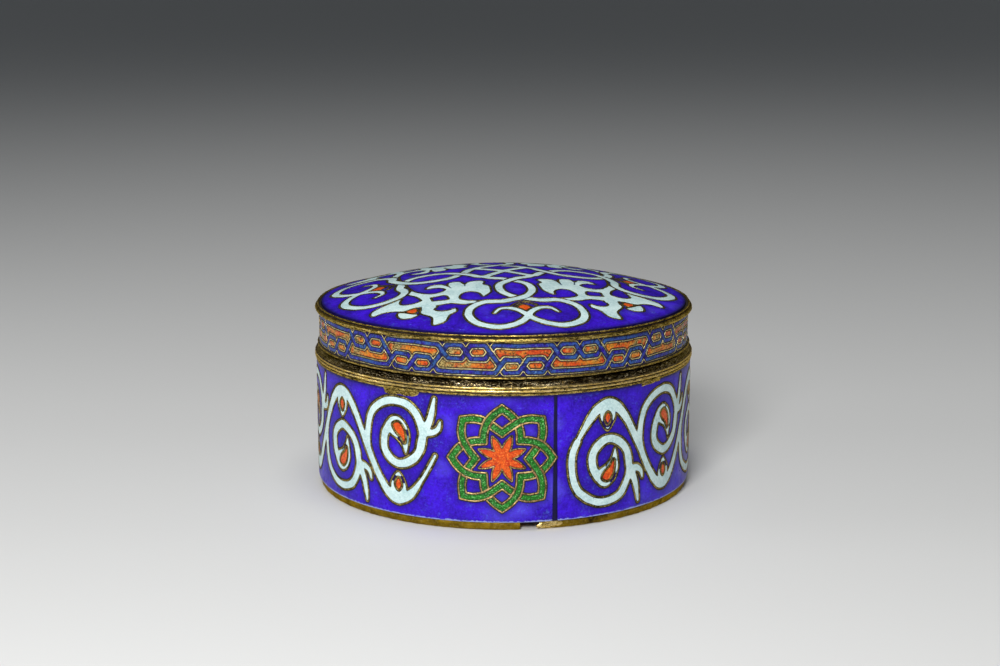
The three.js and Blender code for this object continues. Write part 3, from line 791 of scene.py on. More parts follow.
def resampled(loop, spacing):
    """A closed line with its steps evened out."""
    loop = (np.roll(loop, 1, axis=0) + 2 * loop + np.roll(loop, -1, axis=0)) / 4
    closed = np.vstack([loop, loop[:1]])
    along = np.r_[0, np.cumsum(np.hypot(*np.diff(closed, axis=0).T))]
    steps = max(4, round(along[-1] / spacing))
    at = np.linspace(0, along[-1], steps, endpoint=False)
    return np.stack([np.interp(at, along, closed[:, 0]), np.interp(at, along, closed[:, 1])], 1)


# Cells and wires, laid from a flat drawing onto the box

CELL_EDGE = 0.12
WIRE_AWAY = 0.17
WIRE_WIDTH = 0.36
HALO = 1.8
CELL_PROUD = 0.035
CELL_DEPTH = 0.25
LONGEST_SIDE = 3.0
SLOPE_WIDTH = 0.34
SLOPE_DROP = 0.04


def inner_points(field, slope, spacing=1.1):
    """Points of an even net that lie well inside the drawn cells."""
    x, y = np.meshgrid(
        np.arange(field.x[0], field.x[-1], spacing), np.arange(field.y[0], field.y[-1], spacing)
    )
    net = np.stack([x.ravel(), y.ravel()], axis=1)
    return net[field.value(net) < -slope - 0.3]


def cell_sheet(field, slope):
    """The points and triangles of the drawn cells, lying flat, with a ring of points along each edge."""
    loops = contours(field, CELL_EDGE) + contours(field, -slope)
    points = np.vstack([*loops, inner_points(field, slope)])
    edges = []
    start = 0
    for loop in loops:
        n = len(loop)
        edges += [(start + i, start + (i + 1) % n) for i in range(n)]
        start += n
    made = delaunay_2d_cdt([Vector(p) for p in points.tolist()], edges, [], 0, 1e-5)
    flat = np.array([v[:] for v in made[0]])
    triangles = np.array(made[2])
    corners = flat[triangles]
    sides = corners - np.roll(corners, 1, axis=1)
    short = np.hypot(sides[:, :, 0], sides[:, :, 1]).max(axis=1) < LONGEST_SIDE
    return flat, triangles[short & (field.value(corners.mean(axis=1)) < CELL_EDGE)]


def enamel_cells(name, field, places, material, proud=CELL_PROUD, slope=SLOPE_WIDTH):
    """Enamel in the drawn cells as closed thin shells, once for each place."""
    flat, triangles = cell_sheet(field, slope)
    count = len(flat)
    sides = np.vstack([triangles[:, [0, 1]], triangles[:, [1, 2]], triangles[:, [2, 0]]])
    known = set(map(tuple, sides.tolist()))
    rim = [(a, b) for a, b in known if (b, a) not in known]
    near = np.clip(1 + field.value(flat) / slope, 0, 1)
    points = []
    faces = []
    for place in places:
        base = len(points) * count
        points += [place(flat, proud - SLOPE_DROP * near), place(flat, -CELL_DEPTH)]
        faces += (triangles + base).tolist()
        faces += (triangles[:, ::-1] + base + count).tolist()
        faces += [(b + base, a + base, a + base + count, b + base + count) for a, b in rim]
    piece = make_mesh(name, np.vstack(points), faces, material, crease=50)
    # The mark lets the finishes paint shade along the cells' edges beside the wires
    return marked(piece, np.tile(near, 2 * len(places)))


# Which sides of a wire's section are the dark strip along it, partly dirt and partly painted shade
DIRT_AND_SHADE_SIDES = (0, 1, 5, 6)


def wires(name, loops, places, width, material, inner_dirt_and_shade=0.8, outer_dirt_and_shade=1.2):
    """Flat wires along closed lines, once for each place, with a dark strip along them, partly settled dirt
    and partly painted shade.

    The dark strip reaches from a wire's middle by these shares of its width, inside and outside the line.
    """
    section = [
        (-inner_dirt_and_shade - 0.05, -0.06), (-inner_dirt_and_shade, 0.02), (-0.5, 0.04), (-0.4, 0.085),
        (0.4, 0.085), (0.5, 0.04), (outer_dirt_and_shade, 0.02), (outer_dirt_and_shade + 0.05, -0.06),
    ]
    points = []
    faces = []
    slots = []
    total = 0
    sides = len(section)
    for place in places:
        for loop in loops:
            n = len(loop)
            ahead = np.roll(loop, -1, axis=0) - np.roll(loop, 1, axis=0)
            ahead /= np.maximum(np.hypot(*ahead.T), TINY)[:, None]
            across = np.stack([ahead[:, 1], -ahead[:, 0]], axis=1)
            rows = [place(loop + across * (s * width), height) for s, height in section]
            points.append(np.stack(rows, axis=1).reshape(-1, 3))
            for i in range(n):
                here = total + i * sides
                there = total + (i + 1) % n * sides
                for j in range(sides):
                    k = (j + 1) % sides
                    faces.append((here + j, there + j, there + k, here + k))
            slots += [1 if j in DIRT_AND_SHADE_SIDES else 0 for j in range(sides)] * n
            total += n * sides
    piece = make_mesh(name, np.vstack(points), faces, material, crease=60)
    # The dark strip's faces take the near-black finish: partly dirt, partly painted shade
    piece.data.materials.append(DIRT_AND_SHADE)
    piece.data.polygons.foreach_set("material_index", slots)
    return piece


def on_cylinder(radius, azimuth, middle, seed=5, depth=0.07):
    """Lays a drawing round a cylinder, with the unevenness of hand work."""
    girth = 2 * math.pi * radius
    sideways = Ripple(seed, 7, 25, girth)
    upwards = Ripple(seed + 1, 7, 25, girth)

    def place(flat, height):
        start = math.radians(azimuth) * radius
        x = flat[:, 0] + start
        y = flat[:, 1] + middle
        turn = (x + depth * sideways(x, y)) / radius
        return around(radius + height, turn, y + depth * upwards(x, y))

    return place


# The radius at which the dome's ornament is drawn
DOME_DRAWN = 48.3

sphere_radius = (dome_radius**2 + (apex - dome_edge) ** 2) / (2 * (apex - dome_edge))
sphere_middle = apex - sphere_radius


def dome_level(radius):
    """Level of the dome's outer surface at a distance from the axis."""
    return sphere_middle + np.sqrt(sphere_radius**2 - np.asarray(radius, float) ** 2)


def on_dome(seed=11, depth=0.10):
    """Lays a drawing, with y outwards to the front, on the dome's polished surface.

    The quarters next to the front are a little narrower than those behind.
    """
    sideways = Ripple(seed, 9, 30)
    outwards = Ripple(seed + 1, 9, 30)

    def place(flat, height):
        x = flat[:, 0] + depth * sideways(flat[:, 0], flat[:, 1])
        y = flat[:, 1] + depth * outwards(flat[:, 0], flat[:, 1])
        angle = np.arctan2(x, y)
        angle = angle - math.radians(DOME_SQUASH) * np.sin(angle) + math.radians(DOME_TURN)
        distance = np.hypot(x, y) * dome_radius / DOME_DRAWN
        lean = distance / sphere_radius
        radius = distance + height * lean
        level = dome_level(distance) - POLISH + height * np.sqrt(1 - lean**2)
        return around(radius, angle, level)

    return place


# The box


def foot_ring():
    bore = outer_radius("base_enamel") + CLEARANCE
    soft = 0.35
    profile = (
        [(bore, 0), *arc(foot_radius - soft, soft, soft, -90, 0, 4)]
        + [*arc(foot_radius - soft, foot_top - soft, soft, 0, 90, 4), (bore, foot_top)]
    )
    hammered = Ripple(21, 1.5, 9, count=40)
    low, high = FOOT_GAP
    return turned(
        "foot_band", densified(profile, 0.4), FOOT_GILT, 900, high, 360 + low - high,
        lambda x, y: 0.05 * hammered(x, y) - 0.04,
    )


def distance_from(fields, x, y):
    """Distances of places to the nearest of the drawings' cells, far outside their windows."""
    distance = np.full(len(x), FAR)
    for field in fields:
        inside = (x > field.x[0]) & (x < field.x[-1]) & (y > field.y[0]) & (y < field.y[-1])
        value = field.value(np.stack([x, y], axis=1))
        distance = np.minimum(distance, np.where(inside, value, FAR))
    return distance


def vertices(piece):
    """The coordinates of a mesh's points, in mm."""
    flat = np.empty(3 * len(piece.data.vertices))
    piece.data.vertices.foreach_get("co", flat)
    return flat.reshape(-1, 3).T / MM


def mark_ground(piece, distance, to_edge):
    """Marks the ground by its distances to the cells and to its edge: 1 beside a wire, 0 past the halo. The
    cobalt finish paints shade by this mark.
    """
    return marked(piece, np.clip(1 - (np.minimum(distance, to_edge) - WIRE_AWAY) / HALO, 0, 1))


def mark_body_ground(piece, fields):
    x, y, z = vertices(piece)
    distance = np.full(len(x), FAR)
    for turn in (0, 180):
        azimuth = np.arctan2(x, -y) - math.radians(MEDALLION_AZIMUTH + turn)
        for field in fields:
            start = field.x[0] / body_radius
            girth = ((azimuth - start) % (2 * math.pi) + start) * body_radius
            distance = np.minimum(distance, distance_from([field], girth, z - panel_middle))
    return mark_ground(piece, distance, enamel_top - FILLET_HEIGHT - z)


def mark_dome_ground(piece, fields):
    x, y, _ = vertices(piece)
    turn = np.arctan2(x, -y) - math.radians(DOME_TURN)
    angle = turn
    for _ in range(4):
        angle = turn + math.radians(DOME_SQUASH) * np.sin(angle)
    radius = np.hypot(x, y) * DOME_DRAWN / dome_radius
    distance = distance_from(fields, radius * np.sin(angle), radius * np.cos(angle))
    return mark_ground(piece, distance, dome_radius - 0.05 - np.hypot(x, y))


def with_grooves(piece, radius, level=math.inf):
    """Gives the faces nearer the axis than a radius, below a level, to the near-black finish: painted shade
    in the grooves, with some dirt.
    """
    piece.data.materials.append(DIRT_AND_SHADE)
    slot = len(piece.data.materials) - 1
    for face in piece.data.polygons:
        if math.hypot(face.center.x, face.center.y) < radius * MM and face.center.z < level * MM:
            face.material_index = slot
    return piece


def solder_blob():
    """The lump of solder beside the gap in the foot ring."""
    outline = [(-1.5, -0.5), (0.4, -0.85), (3.4, -0.7), (5.2, 0.1), (4.3, 1.0), (2.4, 1.5), (0.3, 0.9)]
    field = Field(-3, 7, -2, 3).patch(smooth(outline, closed=True))
    place = on_cylinder(foot_radius - 0.15, SOLDER_AZIMUTH, foot_top / 2 + 0.1, depth=0)
    lump = Ripple(31, 0.8, 3)

    def raised(flat, height):
        inside = np.clip(-field.value(flat) / 0.6, 0, 1)
        swell = 0.35 * np.sqrt(inside) * (0.8 + 0.2 * lump(flat[:, 0], flat[:, 1]))
        return place(flat, height + np.where(height > -CELL_DEPTH, swell, 0))

    return enamel_cells("foot_solder", field, [raised], GILT)


# The patches of solder at the body's upper edge, in degrees and in mm under the edge
solder_outlines = [
    [
        (-36.2, -0.2), (-35.8, -1.7), (-33.5, -2.1), (-30.6, -1.7), (-28.4, -2.2), (-24.9, -1.3),
        (-24.5, -0.2),
    ],
    [(42.9, -0.2), (43.2, -1.5), (46.5, -1.7), (49.2, -1.2), (51.7, -1.0), (51.9, -0.2)],
    [(171, -0.2), (171.6, -1.4), (174, -1.7), (177.5, -1.0), (178.2, -0.2)],
]


def solder_patches():
    """Places at the body's upper edge where lost enamel was filled with metal."""
    per_degree = math.radians(1) * body_radius
    field = Field(-40 * per_degree, 182 * per_degree, -3, 0.4)
    for outline in solder_outlines:
        field.patch([(turn * per_degree, drop) for turn, drop in outline])
    field.roughened(35, 0.22)
    place = on_cylinder(body_radius - POLISH, 0, enamel_top, depth=0)
    return enamel_cells("edge_solder", field, [place], OLIVE_GILT)


def seam_half_width(level):
    """Half the width of the open seam, which grows towards the foot."""
    down = (enamel_top - level) / (enamel_top - enamel_bottom)
    return SEAM_HALF + SEAM_GROWTH * down**2


def body_coat():
    """The cobalt ground: a coat that runs from one lip of the seam round to the other."""
    columns = 720
    rows = 60
    outer = body_radius - POLISH
    lips = np.array([0, 0.12, 0.3, 0.6])
    lip_drop = np.array([0.28, 0.10, 0.03, 0.0])
    between = columns + 1 - 2 * len(lips)
    waves = Ripple(41, 6, 30, 2 * math.pi * outer)
    points = []
    for level in np.linspace(enamel_bottom, enamel_top, rows + 1):
        half = seam_half_width(level)
        length = 2 * math.pi * outer - 2 * half
        along = np.r_[lips, np.linspace(1, length - 1, between), length - lips[::-1]]
        girth = math.radians(SEAM_AZIMUTH) * outer + half + along
        edge = min(level - enamel_bottom, enamel_top - level)
        drop = np.r_[lip_drop, np.zeros(between), lip_drop[::-1]] + 0.12 * max(0, 1 - edge / 0.5) ** 2
        radius = outer - drop + 0.015 * waves(girth, level)
        points.append(around(radius, girth / outer, level))
        points.append(around(wall_radius + CLEARANCE, girth / outer, level))
    numbers = np.arange(len(points) * (columns + 1)).reshape(rows + 1, 2, columns + 1)
    out, back = numbers[:, 0], numbers[:, 1]
    faces = []
    for corners in (
        (out[:-1, :-1], out[:-1, 1:], out[1:, 1:], out[1:, :-1]),
        (back[:-1, 1:], back[:-1, :-1], back[1:, :-1], back[1:, 1:]),
        (back[:-1, 0], out[:-1, 0], out[1:, 0], back[1:, 0]),
        (out[:-1, -1], back[:-1, -1], back[1:, -1], out[1:, -1]),
        (back[0, :-1], back[0, 1:], out[0, 1:], out[0, :-1]),
        (out[-1, :-1], out[-1, 1:], back[-1, 1:], back[-1, :-1]),
    ):
        faces += np.stack([corner.ravel() for corner in corners], axis=1).tolist()
    return make_mesh("body_cobalt", np.vstack(points), faces, COBALT)


def seam_strip():
    """Near-black filling at the bottom of the open seam: painted shade of the narrow gap."""
    levels = np.linspace(enamel_bottom, enamel_top, 40)
    half = seam_half_width(levels) + 0.15
    up = levels - panel_middle
    outline = np.vstack([np.stack([half, up], 1), np.stack([-half, up], 1)[::-1]])
    field = Field(-2, 2, up[0] - 1, up[-1] + 1).patch(outline)
    place = on_cylinder(body_radius - 0.5, SEAM_AZIMUTH, panel_middle, depth=0)
    return enamel_cells("seam_filling", field, [place], SEAM_SHADE)


def body_rim():
    """Two beads under a sloping shoulder."""
    inner = collar_radius + CLEARANCE
    profile = (
        [(inner, rim_bottom), (RIM_FACE, rim_bottom)]
        + arc(RIM_FACE + 0.08, rim_bottom + 0.52, 0.46, -80, 75)
        + arc(RIM_FACE + 0.16, rim_bottom + 1.32, 0.36, -80, 80)
        + [(RIM_FACE - 0.1, rim_bottom + 1.75), (RIM_FACE - 0.25, rim_bottom + 2.0)]
        + [(RIM_FACE - 0.6, rim_bottom + 2.5), (RIM_FACE - 1.0, rim_top - 0.1)]
        + [(RIM_FACE - 1.3, rim_top), (inner, rim_top)]
    )
    piece = moulding("body_mouldings", profile, GILT, 51, 0.035, 0.05, 0.03)
    piece.data.materials.append(SHOULDER_GILT)
    foot_of_shoulder = (rim_bottom + 1.72) * MM
    for face in piece.data.polygons:
        face.material_index = 1 if face.center.z > foot_of_shoulder else 0
    # Painted shade, with some dirt, in the grooves between the beads
    return with_grooves(piece, RIM_FACE + 0.3, rim_bottom + 1.66)


def rim_fillet():
    """The thin strip of gilding and solder between the beads and the enamel."""
    low = rim_bottom - FILLET_HEIGHT
    high = rim_bottom - 0.05
    profile = [
        (body_radius - 0.4, low), (body_radius - 0.04, low), (body_radius + 0.06, low + 0.14),
        (body_radius + 0.06, high), (body_radius - 0.4, high),
    ]
    return moulding("rim_fillet", profile, OLIVE_GILT, 55, 0.03, 0.02, waves=(0.8, 5), longest=0.15)


def inner_collar():
    low, high = bottom("inner_collar"), top("inner_collar")
    half = 0.4
    profile = [(collar_radius - 2 * half, low), (collar_radius, low)]
    profile += arc(collar_radius - half, high - half, half, 0, 180)
    return turned("collar", densified(profile, 1.2), COLLAR_GILT, 360)


def plain_coats():
    """The turned coats and sheets that show little: the base, the wall and the linings."""
    enamelled = Ripple(61, 8, 30)

    def waves(x, y):
        return 0.03 * enamelled(x, y)

    lining_bore = outer_radius("body_lining") + CLEARANCE
    collar_bore = collar_radius + CLEARANCE
    for name, node, bore, material, columns, uneven, body, slot in (
        ("base_under_coat", "base_enamel", 0, LINING, 240, None, "box", "lining_enamel"),
        ("base_sheet", "base_plate", 0, COPPER, 240, None, "box", "copper"),
        ("box_wall", "body_wall", lining_bore, COPPER, 240, None, "box", "copper"),
        ("box_inner_coat", "body_lining", collar_bore, LINING, 360, waves, "box", "lining_enamel"),
        ("box_floor_coat", "floor_lining", 0, LINING, 360, None, "box", "lining_enamel"),
        ("lid_side", "lid_wall", collar_radius + LID_PLAY, COLLAR_GILT, 360, None, "lid", "copper"),
    ):
        low, high, reach = bottom(node), top(node), outer_radius(node)
        profile = densified([(bore, low), (reach, low), (reach, high), (bore, high)], 2.0)
        dressed(turned(name, profile, material, columns, uneven=uneven), body, slot, node)


# The medallions: two four-cornered straps laid through each other round a star

GREEN_HALF = 0.74
LACE_GAP = 0.46
STAR_WIRE_AWAY = 0.12

ogee_eighth = [(0, 12.5), (1.9, 11.1), (3.5, 9.2), (4.3, 7), (4.5, 4.5)]
square_eighth = [(0, 6.5), (2.1, 8.1), (4.3, 9.4), (6.8, 9.9), (9.6, 9.6)]


def closed_strap(eighth):
    """A whole strap from one eighth of it, as a closed line."""
    eighth = smooth(eighth, 0.6)
    quarter = np.vstack([eighth, eighth[-2:0:-1, ::-1]])
    return np.vstack([rotated(quarter, turn) for turn in (0, 90, 180, 270)])


def moved_out(loop, distance):
    """A closed line moved sideways, with its sharp corners kept sharp."""
    before = loop - np.roll(loop, 1, axis=0)
    after = np.roll(loop, -1, axis=0) - loop
    before /= np.hypot(*before.T)[:, None]
    after /= np.hypot(*after.T)[:, None]
    normal = np.stack([-(before + after)[:, 1], (before + after)[:, 0]], axis=1)
    normal /= np.hypot(*normal.T)[:, None]
    across = -normal[:, 0] * before[:, 1] + normal[:, 1] * before[:, 0]
    return loop + normal * (distance / np.maximum(across, 0.35))[:, None]


def medallion_fields():
    straps = []
    for eighth in (ogee_eighth, square_eighth):
        loop = closed_strap(eighth)
        field = Field(-15, 15, -15, 15, 0.08)
        field.patch(moved_out(loop, GREEN_HALF)).hole(moved_out(loop, -GREEN_HALF))
        straps.append(field)
    whole = [strap.d.copy() for strap in straps]
    first, second = straps
    x, y = np.meshgrid(first.x, first.y)
    octant = np.floor((np.degrees(np.arctan2(x, y)) % 360) / 45).astype(int)
    first_over = octant % 2 == 1
    first.d = np.where(first_over, whole[0], np.maximum(whole[0], LACE_GAP - whole[1]))
    second.d = np.where(first_over, np.maximum(whole[1], LACE_GAP - whole[0]), whole[1])
    return first.blank().add(first, second)


def star_field():
    petals = 8
    half_petal = smooth([(0.7, -0.4), (0.8, 1.6), (0.90, 3.1), (0.62, 4.7), (0.02, 6.1)], 0.4)
    petal = np.vstack([half_petal, mirrored(half_petal)[::-1]])
    field = Field(-8, 8, -8, 8, 0.06)
    for n in range(petals):
        field.patch(rotated(petal, (n + 0.5) * 360 / petals))
    return field


def medallions(straps, star):
    places = [
        on_cylinder(body_radius - POLISH, MEDALLION_AZIMUTH + turn, panel_middle, depth=0.05)
        for turn in (0, 180)
    ]
    for side, place in zip(("front", "back"), places):
        green = enamel_cells("medallion_green_" + side, straps, [place], GREEN)
        dressed(green, "box", "green_enamel", "medallion_" + side)
        orange = enamel_cells("star_orange_" + side, star, [place], ORANGE)
        dressed(orange, "box", "orange_enamel", "star_" + side)
        for what, lines, width in (
            ("medallion", contours(straps, WIRE_AWAY, 0.22), 0.34),
            ("star", contours(star, STAR_WIRE_AWAY, 0.2), 0.26),
        ):
            wire = wires(what + "_wires_" + side, lines, [place], width, MEDALLION_WIRE)
            dressed(wire, "box", "gilt")


# The panels: a running vine whose every bay holds a curled shoot

vine_shoot = [
    (-8.5, 3.2), (-9.7, 0.4), (-9.9, -3.4), (-8.3, -9), (-2.6, -12.6), (3.8, -11.6),
    (7.0, -5.8), (5.2, 0.6), (-0.2, 3.2), (-4.2, -0.2), (-4.1, -3.6), (-2.6, -6.4),
]
vine_leaf = [(6.4, -1.6), (7.1, -4.8), (8.9, -8.6), (10.2, -14.4)]
vine_hook = [(7.3, -5.6), (9.3, -5.6), (11.1, -6.6), (11.7, -8.6)]
vine_flame = [
    (-3.3, -5.4), (-2.7, -7.9), (-0.4, -8.9), (2.0, -7.6), (3.3, -4.8), (3.0, -1.6), (2.3, 0.5),
    (1.4, -1.4), (-0.2, -3.2), (-2.2, -4.2),
]
vine_ember = [(-1.5, -6.6), (0.1, -7.4), (1.5, -6.2), (2.1, -4.2), (1.9, -2.3), (0.8, -3.9), (-0.8, -5.2)]
vine_bud = [(-1.3, 11.4), (-2.3, 9.0), (-1.5, 6.9), (0, 5.3), (1.5, 6.9), (2.3, 9.0), (1.3, 11.4)]
vine_spark = [(-0.9, 8.7), (0, 6.9), (0.9, 8.7), (0, 9.9)]
VINE_WIDTH = 2.2
VINE_BAYS = 6
VINE_CLEAR = 17.0
VINE_WAVE = 12.2
PANEL_HALF = 17

# The length of a bay for which the shoot and its leaves are drawn
VINE_DRAWN_BAY = 20.6


def vine_fields():
    half_girth = math.pi * body_radius
    bay = (half_girth - 2 * VINE_CLEAR) / VINE_BAYS
    pale = Field(0, half_girth, -PANEL_HALF, PANEL_HALF)
    along = np.linspace(0, VINE_BAYS, VINE_BAYS * 40 + 1)
    stem = np.stack([VINE_CLEAR + along * bay, VINE_WAVE * np.sin(along * math.pi)], axis=1)
    half = VINE_WIDTH / 2 - 0.16 * np.cos(2 * math.pi * along)
    pale.strand(stem, half * np.clip(np.minimum(0.1 + along, VINE_BAYS - along) / 0.35, 0.45, 1))
    drops = pale.blank()
    for n in range(VINE_BAYS):
        up = 1 if n % 2 == 0 else -1
        scale = np.array([bay / VINE_DRAWN_BAY, up])
        origin = np.array([VINE_CLEAR + (n + 0.5) * bay, 0])
        shoot = smooth(vine_shoot) * scale + origin
        pale.strand(shoot, VINE_WIDTH / 2 * np.linspace(0.85, 1.0, len(shoot)))
        for line, width in ((vine_leaf, VINE_WIDTH), (vine_hook, 1.7)):
            tip = smooth(line) * scale + origin
            pale.strand(tip, tapered(tip, width, 0.34))
        for outline in (vine_flame, vine_bud):
            pale.patch(smooth(outline, closed=True) * scale + origin)
        for outline in (vine_ember, vine_spark):
            drops.patch(smooth(outline, closed=True) * scale + origin)
    pale.under(drops, LACE_GAP)
    pale.roughened(71, 0.05)
    return pale, drops


def vines(pale, drops):
    lines = contours(pale, WIRE_AWAY) + contours(drops, WIRE_AWAY)
    for side, turn in (("right", 0), ("left", 180)):
        place = on_cylinder(body_radius - POLISH, MEDALLION_AZIMUTH + turn, panel_middle)
        piece = enamel_cells("vine_pale_" + side, pale, [place], PALE)
        dressed(piece, "box", "pale_enamel", "vine_" + side)
        piece = enamel_cells("vine_drops_" + side, drops, [place], ORANGE)
        dressed(piece, "box", "orange_enamel")
        piece = wires("vine_wires_" + side, lines, [place], WIRE_WIDTH, WIRE)
        dressed(piece, "box", "gilt")


# The lid


def lid_rim():
    inner = collar_radius + LID_PLAY
    low = bottom("lid_rim")
    profile = (
        [(inner, low), (LID_FACE - 0.1, low)]
        + arc(LID_FACE + 0.1, low + 0.34, 0.32, -80, 70)
        + [(LID_FACE, band_bottom - 0.08), (LID_FACE - 0.05, band_bottom), (inner, band_bottom)]
    )
    piece = moulding("lid_bottom_moulding", profile, OLIVE_GILT, 81, 0.04, 0.03)
    # Painted shade, with some dirt, in the groove of the lid's lower moulding
    return with_grooves(piece, LID_FACE + 0.16)


def lid_moulding():
    """A full bead under a hollow, with a thin lip at the edge of the dome."""
    inner = lid_wall_radius + CLEARANCE
    low = band_top
    lip = dome_edge - POLISH
    profile = (
        [(inner, low), (LID_FACE + 0.1, low)]
        + arc(LID_FACE + 0.4, low + 0.62, 0.54, -80, 85)
        + [(LID_FACE, low + 1.2), (LID_FACE, low + 1.3)]
        + arc(LID_FACE + 0.04, lip - 0.28, 0.26, -60, 120, 6)
        + [(LID_FACE - 0.38, lip - 0.5), (inner, lip - 0.55)]
    )
    piece = moulding("lid_top_moulding", profile, OLIVE_GILT, 91, 0.035, 0.04, 0.03)
    # Painted shade, with some dirt, in the hollow under the lip
    return with_grooves(piece, LID_FACE + 0.08, lip - 0.40)


def dome_coat(name, reach, over, under, material, columns, rings, under_rings):
    """A coat of the dome between two depths, with its numbers of rings above and below."""

    def side(depth, count):
        return [(r, float(dome_level(r)) - depth) for r in np.linspace(0, reach, count + 1)]

    return turned(name, side(under, under_rings) + side(over, rings)[::-1], material, columns)


def dome_layers(fields):
    top_coat = dome_coat("dome_cobalt", dome_radius, POLISH, 0.9, COBALT, 540, 96, 24)
    mark_dome_ground(top_coat, fields)
    dressed(top_coat, "lid", "cobalt_enamel", "dome_enamel")
    sheet = dome_coat("dome_sheet", dome_radius, 1.0, 1.7, COPPER, 240, 30, 30)
    dressed(sheet, "lid", "copper", "lid_dome")
    under = dome_coat("dome_under_coat", outer_radius("dome_lining"), 1.8, 2.4, LINING, 360, 20, 60)
    dressed(under, "lid", "lining_enamel", "dome_lining")


# How near a wire the whole ground of the band counts as, so that it is painted in deep shade, since it shows
# only in narrow gaps
BAND_GROUND_SHADE_MARK = 0.95


def band_coat():
    inner = lid_wall_radius + CLEARANCE
    outer = bar_radius - POLISH
    profile = [(inner, band_bottom), (outer, band_bottom), (outer, band_top), (inner, band_top)]
    piece = turned("band_cobalt", densified(profile, 1.0), COBALT, 720)
    marked(piece, np.full(len(piece.data.vertices), BAND_GROUND_SHADE_MARK))
    return dressed(piece, "lid", "cobalt_enamel", "band_enamel")


# The lid's band: two rows of straps that lace round orange bars, each row half a repeat from the other

BAND_HALF = 0.60
BAND_WIRE_AWAY = 0.13
BAND_GAP = 0.30
CELL_SLOPE = 0.5
STRAP_SLOPE = 0.45

# Where the middle repeat starts, as a share of its length from the knot's middle: no cell's middle is there
REPEAT_START = -0.27

# How far round a strap's ends it dives under the others
DIVE_REACH = 1.6

# Where the straps turn, in degrees from the middle of a knot: between its two lozenges, past them,
# and at the end of the long rail. Heights are over the band's middle.
KNOT_INNER = 1.38
KNOT_OUTER = 5.42
RAIL_END = 8.18
KNOT_CROSSING = (KNOT_OUTER + RAIL_END) / 2
RAIL_RISE = 3.3

# The spaces between the straps' middle lines, in degrees from the middle of a knot and shares of the rise
bar_space = [
    (-RAIL_END, 1), (RAIL_END, 1), (RAIL_END + KNOT_INNER, 0.5), (KNOT_CROSSING, -0.5),
    (KNOT_OUTER, 0), (-KNOT_OUTER, 0), (-KNOT_CROSSING, -0.5), (-RAIL_END - KNOT_INNER, 0.5),
]
lozenge_space = [
    (0, -0.5), (KNOT_INNER, -1), (KNOT_OUTER, -1), (KNOT_CROSSING, -0.5), (KNOT_OUTER, 0),
    (KNOT_INNER, 0),
]


def strap_pieces():
    """The pieces of one strap between the places where it dives under another, in order.

    A strap runs for three repeats: through a lower knot, an upper one, an upper and a lower one.
    Points are repeats along, degrees beyond that, and height as a share of the rail's.
    """
    dive = [(0, 0, -0.5), (0, KNOT_INNER, -1), (0, KNOT_OUTER, -1), (0.5, -KNOT_CROSSING, 0.5)]
    top = [
        (0.5, -KNOT_CROSSING, 0.5), (0.5, -KNOT_OUTER, 1), (0.5, -KNOT_INNER, 1),
        (0.5, KNOT_INNER, 0), (0.5, KNOT_OUTER, 0), (0.5, KNOT_CROSSING, 0.5),
    ]
    rail = [
        (0.5, KNOT_CROSSING, 0.5), (0.5, RAIL_END, 1), (1.5, -RAIL_END, 1),
        (1.5, -KNOT_OUTER, 0), (1.5, -KNOT_INNER, 0), (1.5, 0, 0.5),
    ]
    return [dive, top, rail]


def band_fields():
    """The straps, bars and lozenges of one repeat, drawn with the neighbours that touch it."""
    per_degree = math.radians(1) * bar_radius
    period = 360 / BAND_REPEATS
    blank = Field(-2.2 * period * per_degree, 2.2 * period * per_degree, -4.4, 4.4, 0.07)

    def laid(line, middle, side):
        return [
            (((middle + at) * period + turn) * per_degree, side * rise * RAIL_RISE)
            for at, turn, rise in line
        ]

    rows = ((1, 0), (-1, 0.5))
    lines = [
        laid(piece, n + shift, side) for n in range(-3, 4) for side, shift in rows for piece in strap_pieces()
    ]
    whole = [blank.blank().strand(line, BAND_HALF) for line in lines]
    straps = blank.blank()
    for line, strap in zip(lines, whole):
        cut = blank.blank()
        cut.d = strap.d.copy()
        for other in whole:
            if other is not strap:
                cut.under(other, BAND_GAP, line[0], DIVE_REACH)
                cut.under(other, BAND_GAP, line[-1], DIVE_REACH)
        straps.add(cut)
    bars = blank.blank()
    spots = blank.blank()
    spaces = ((bars, bar_space), (spots, lozenge_space), (spots, mirrored(lozenge_space)))
    for n in range(-2, 3):
        for side, shift in rows:
            for field, outline in spaces:
                field.patch(laid([(0, *point) for point in outline], n + shift, side))
    bars.under(straps, BAND_GAP)
    spots.under(straps, BAND_GAP).under(bars, BAND_GAP)
    return straps, bars, spots


def one_repeat(field):
    """A drawing with only the cells whose middle lies in the middle repeat."""
    width = 2 * math.pi * bar_radius / BAND_REPEATS
    start = REPEAT_START * width
    kept = field.blank()
    for loop in contours(field, CELL_EDGE, 0.25):
        area = np.sum(loop[:, 0] * np.roll(loop[:, 1], -1) - np.roll(loop[:, 0], -1) * loop[:, 1])
        if area > 0 and start <= loop[:, 0].mean() < start + width:
            kept.patch(loop)
    kept.d = np.maximum(kept.d, field.d)
    return kept


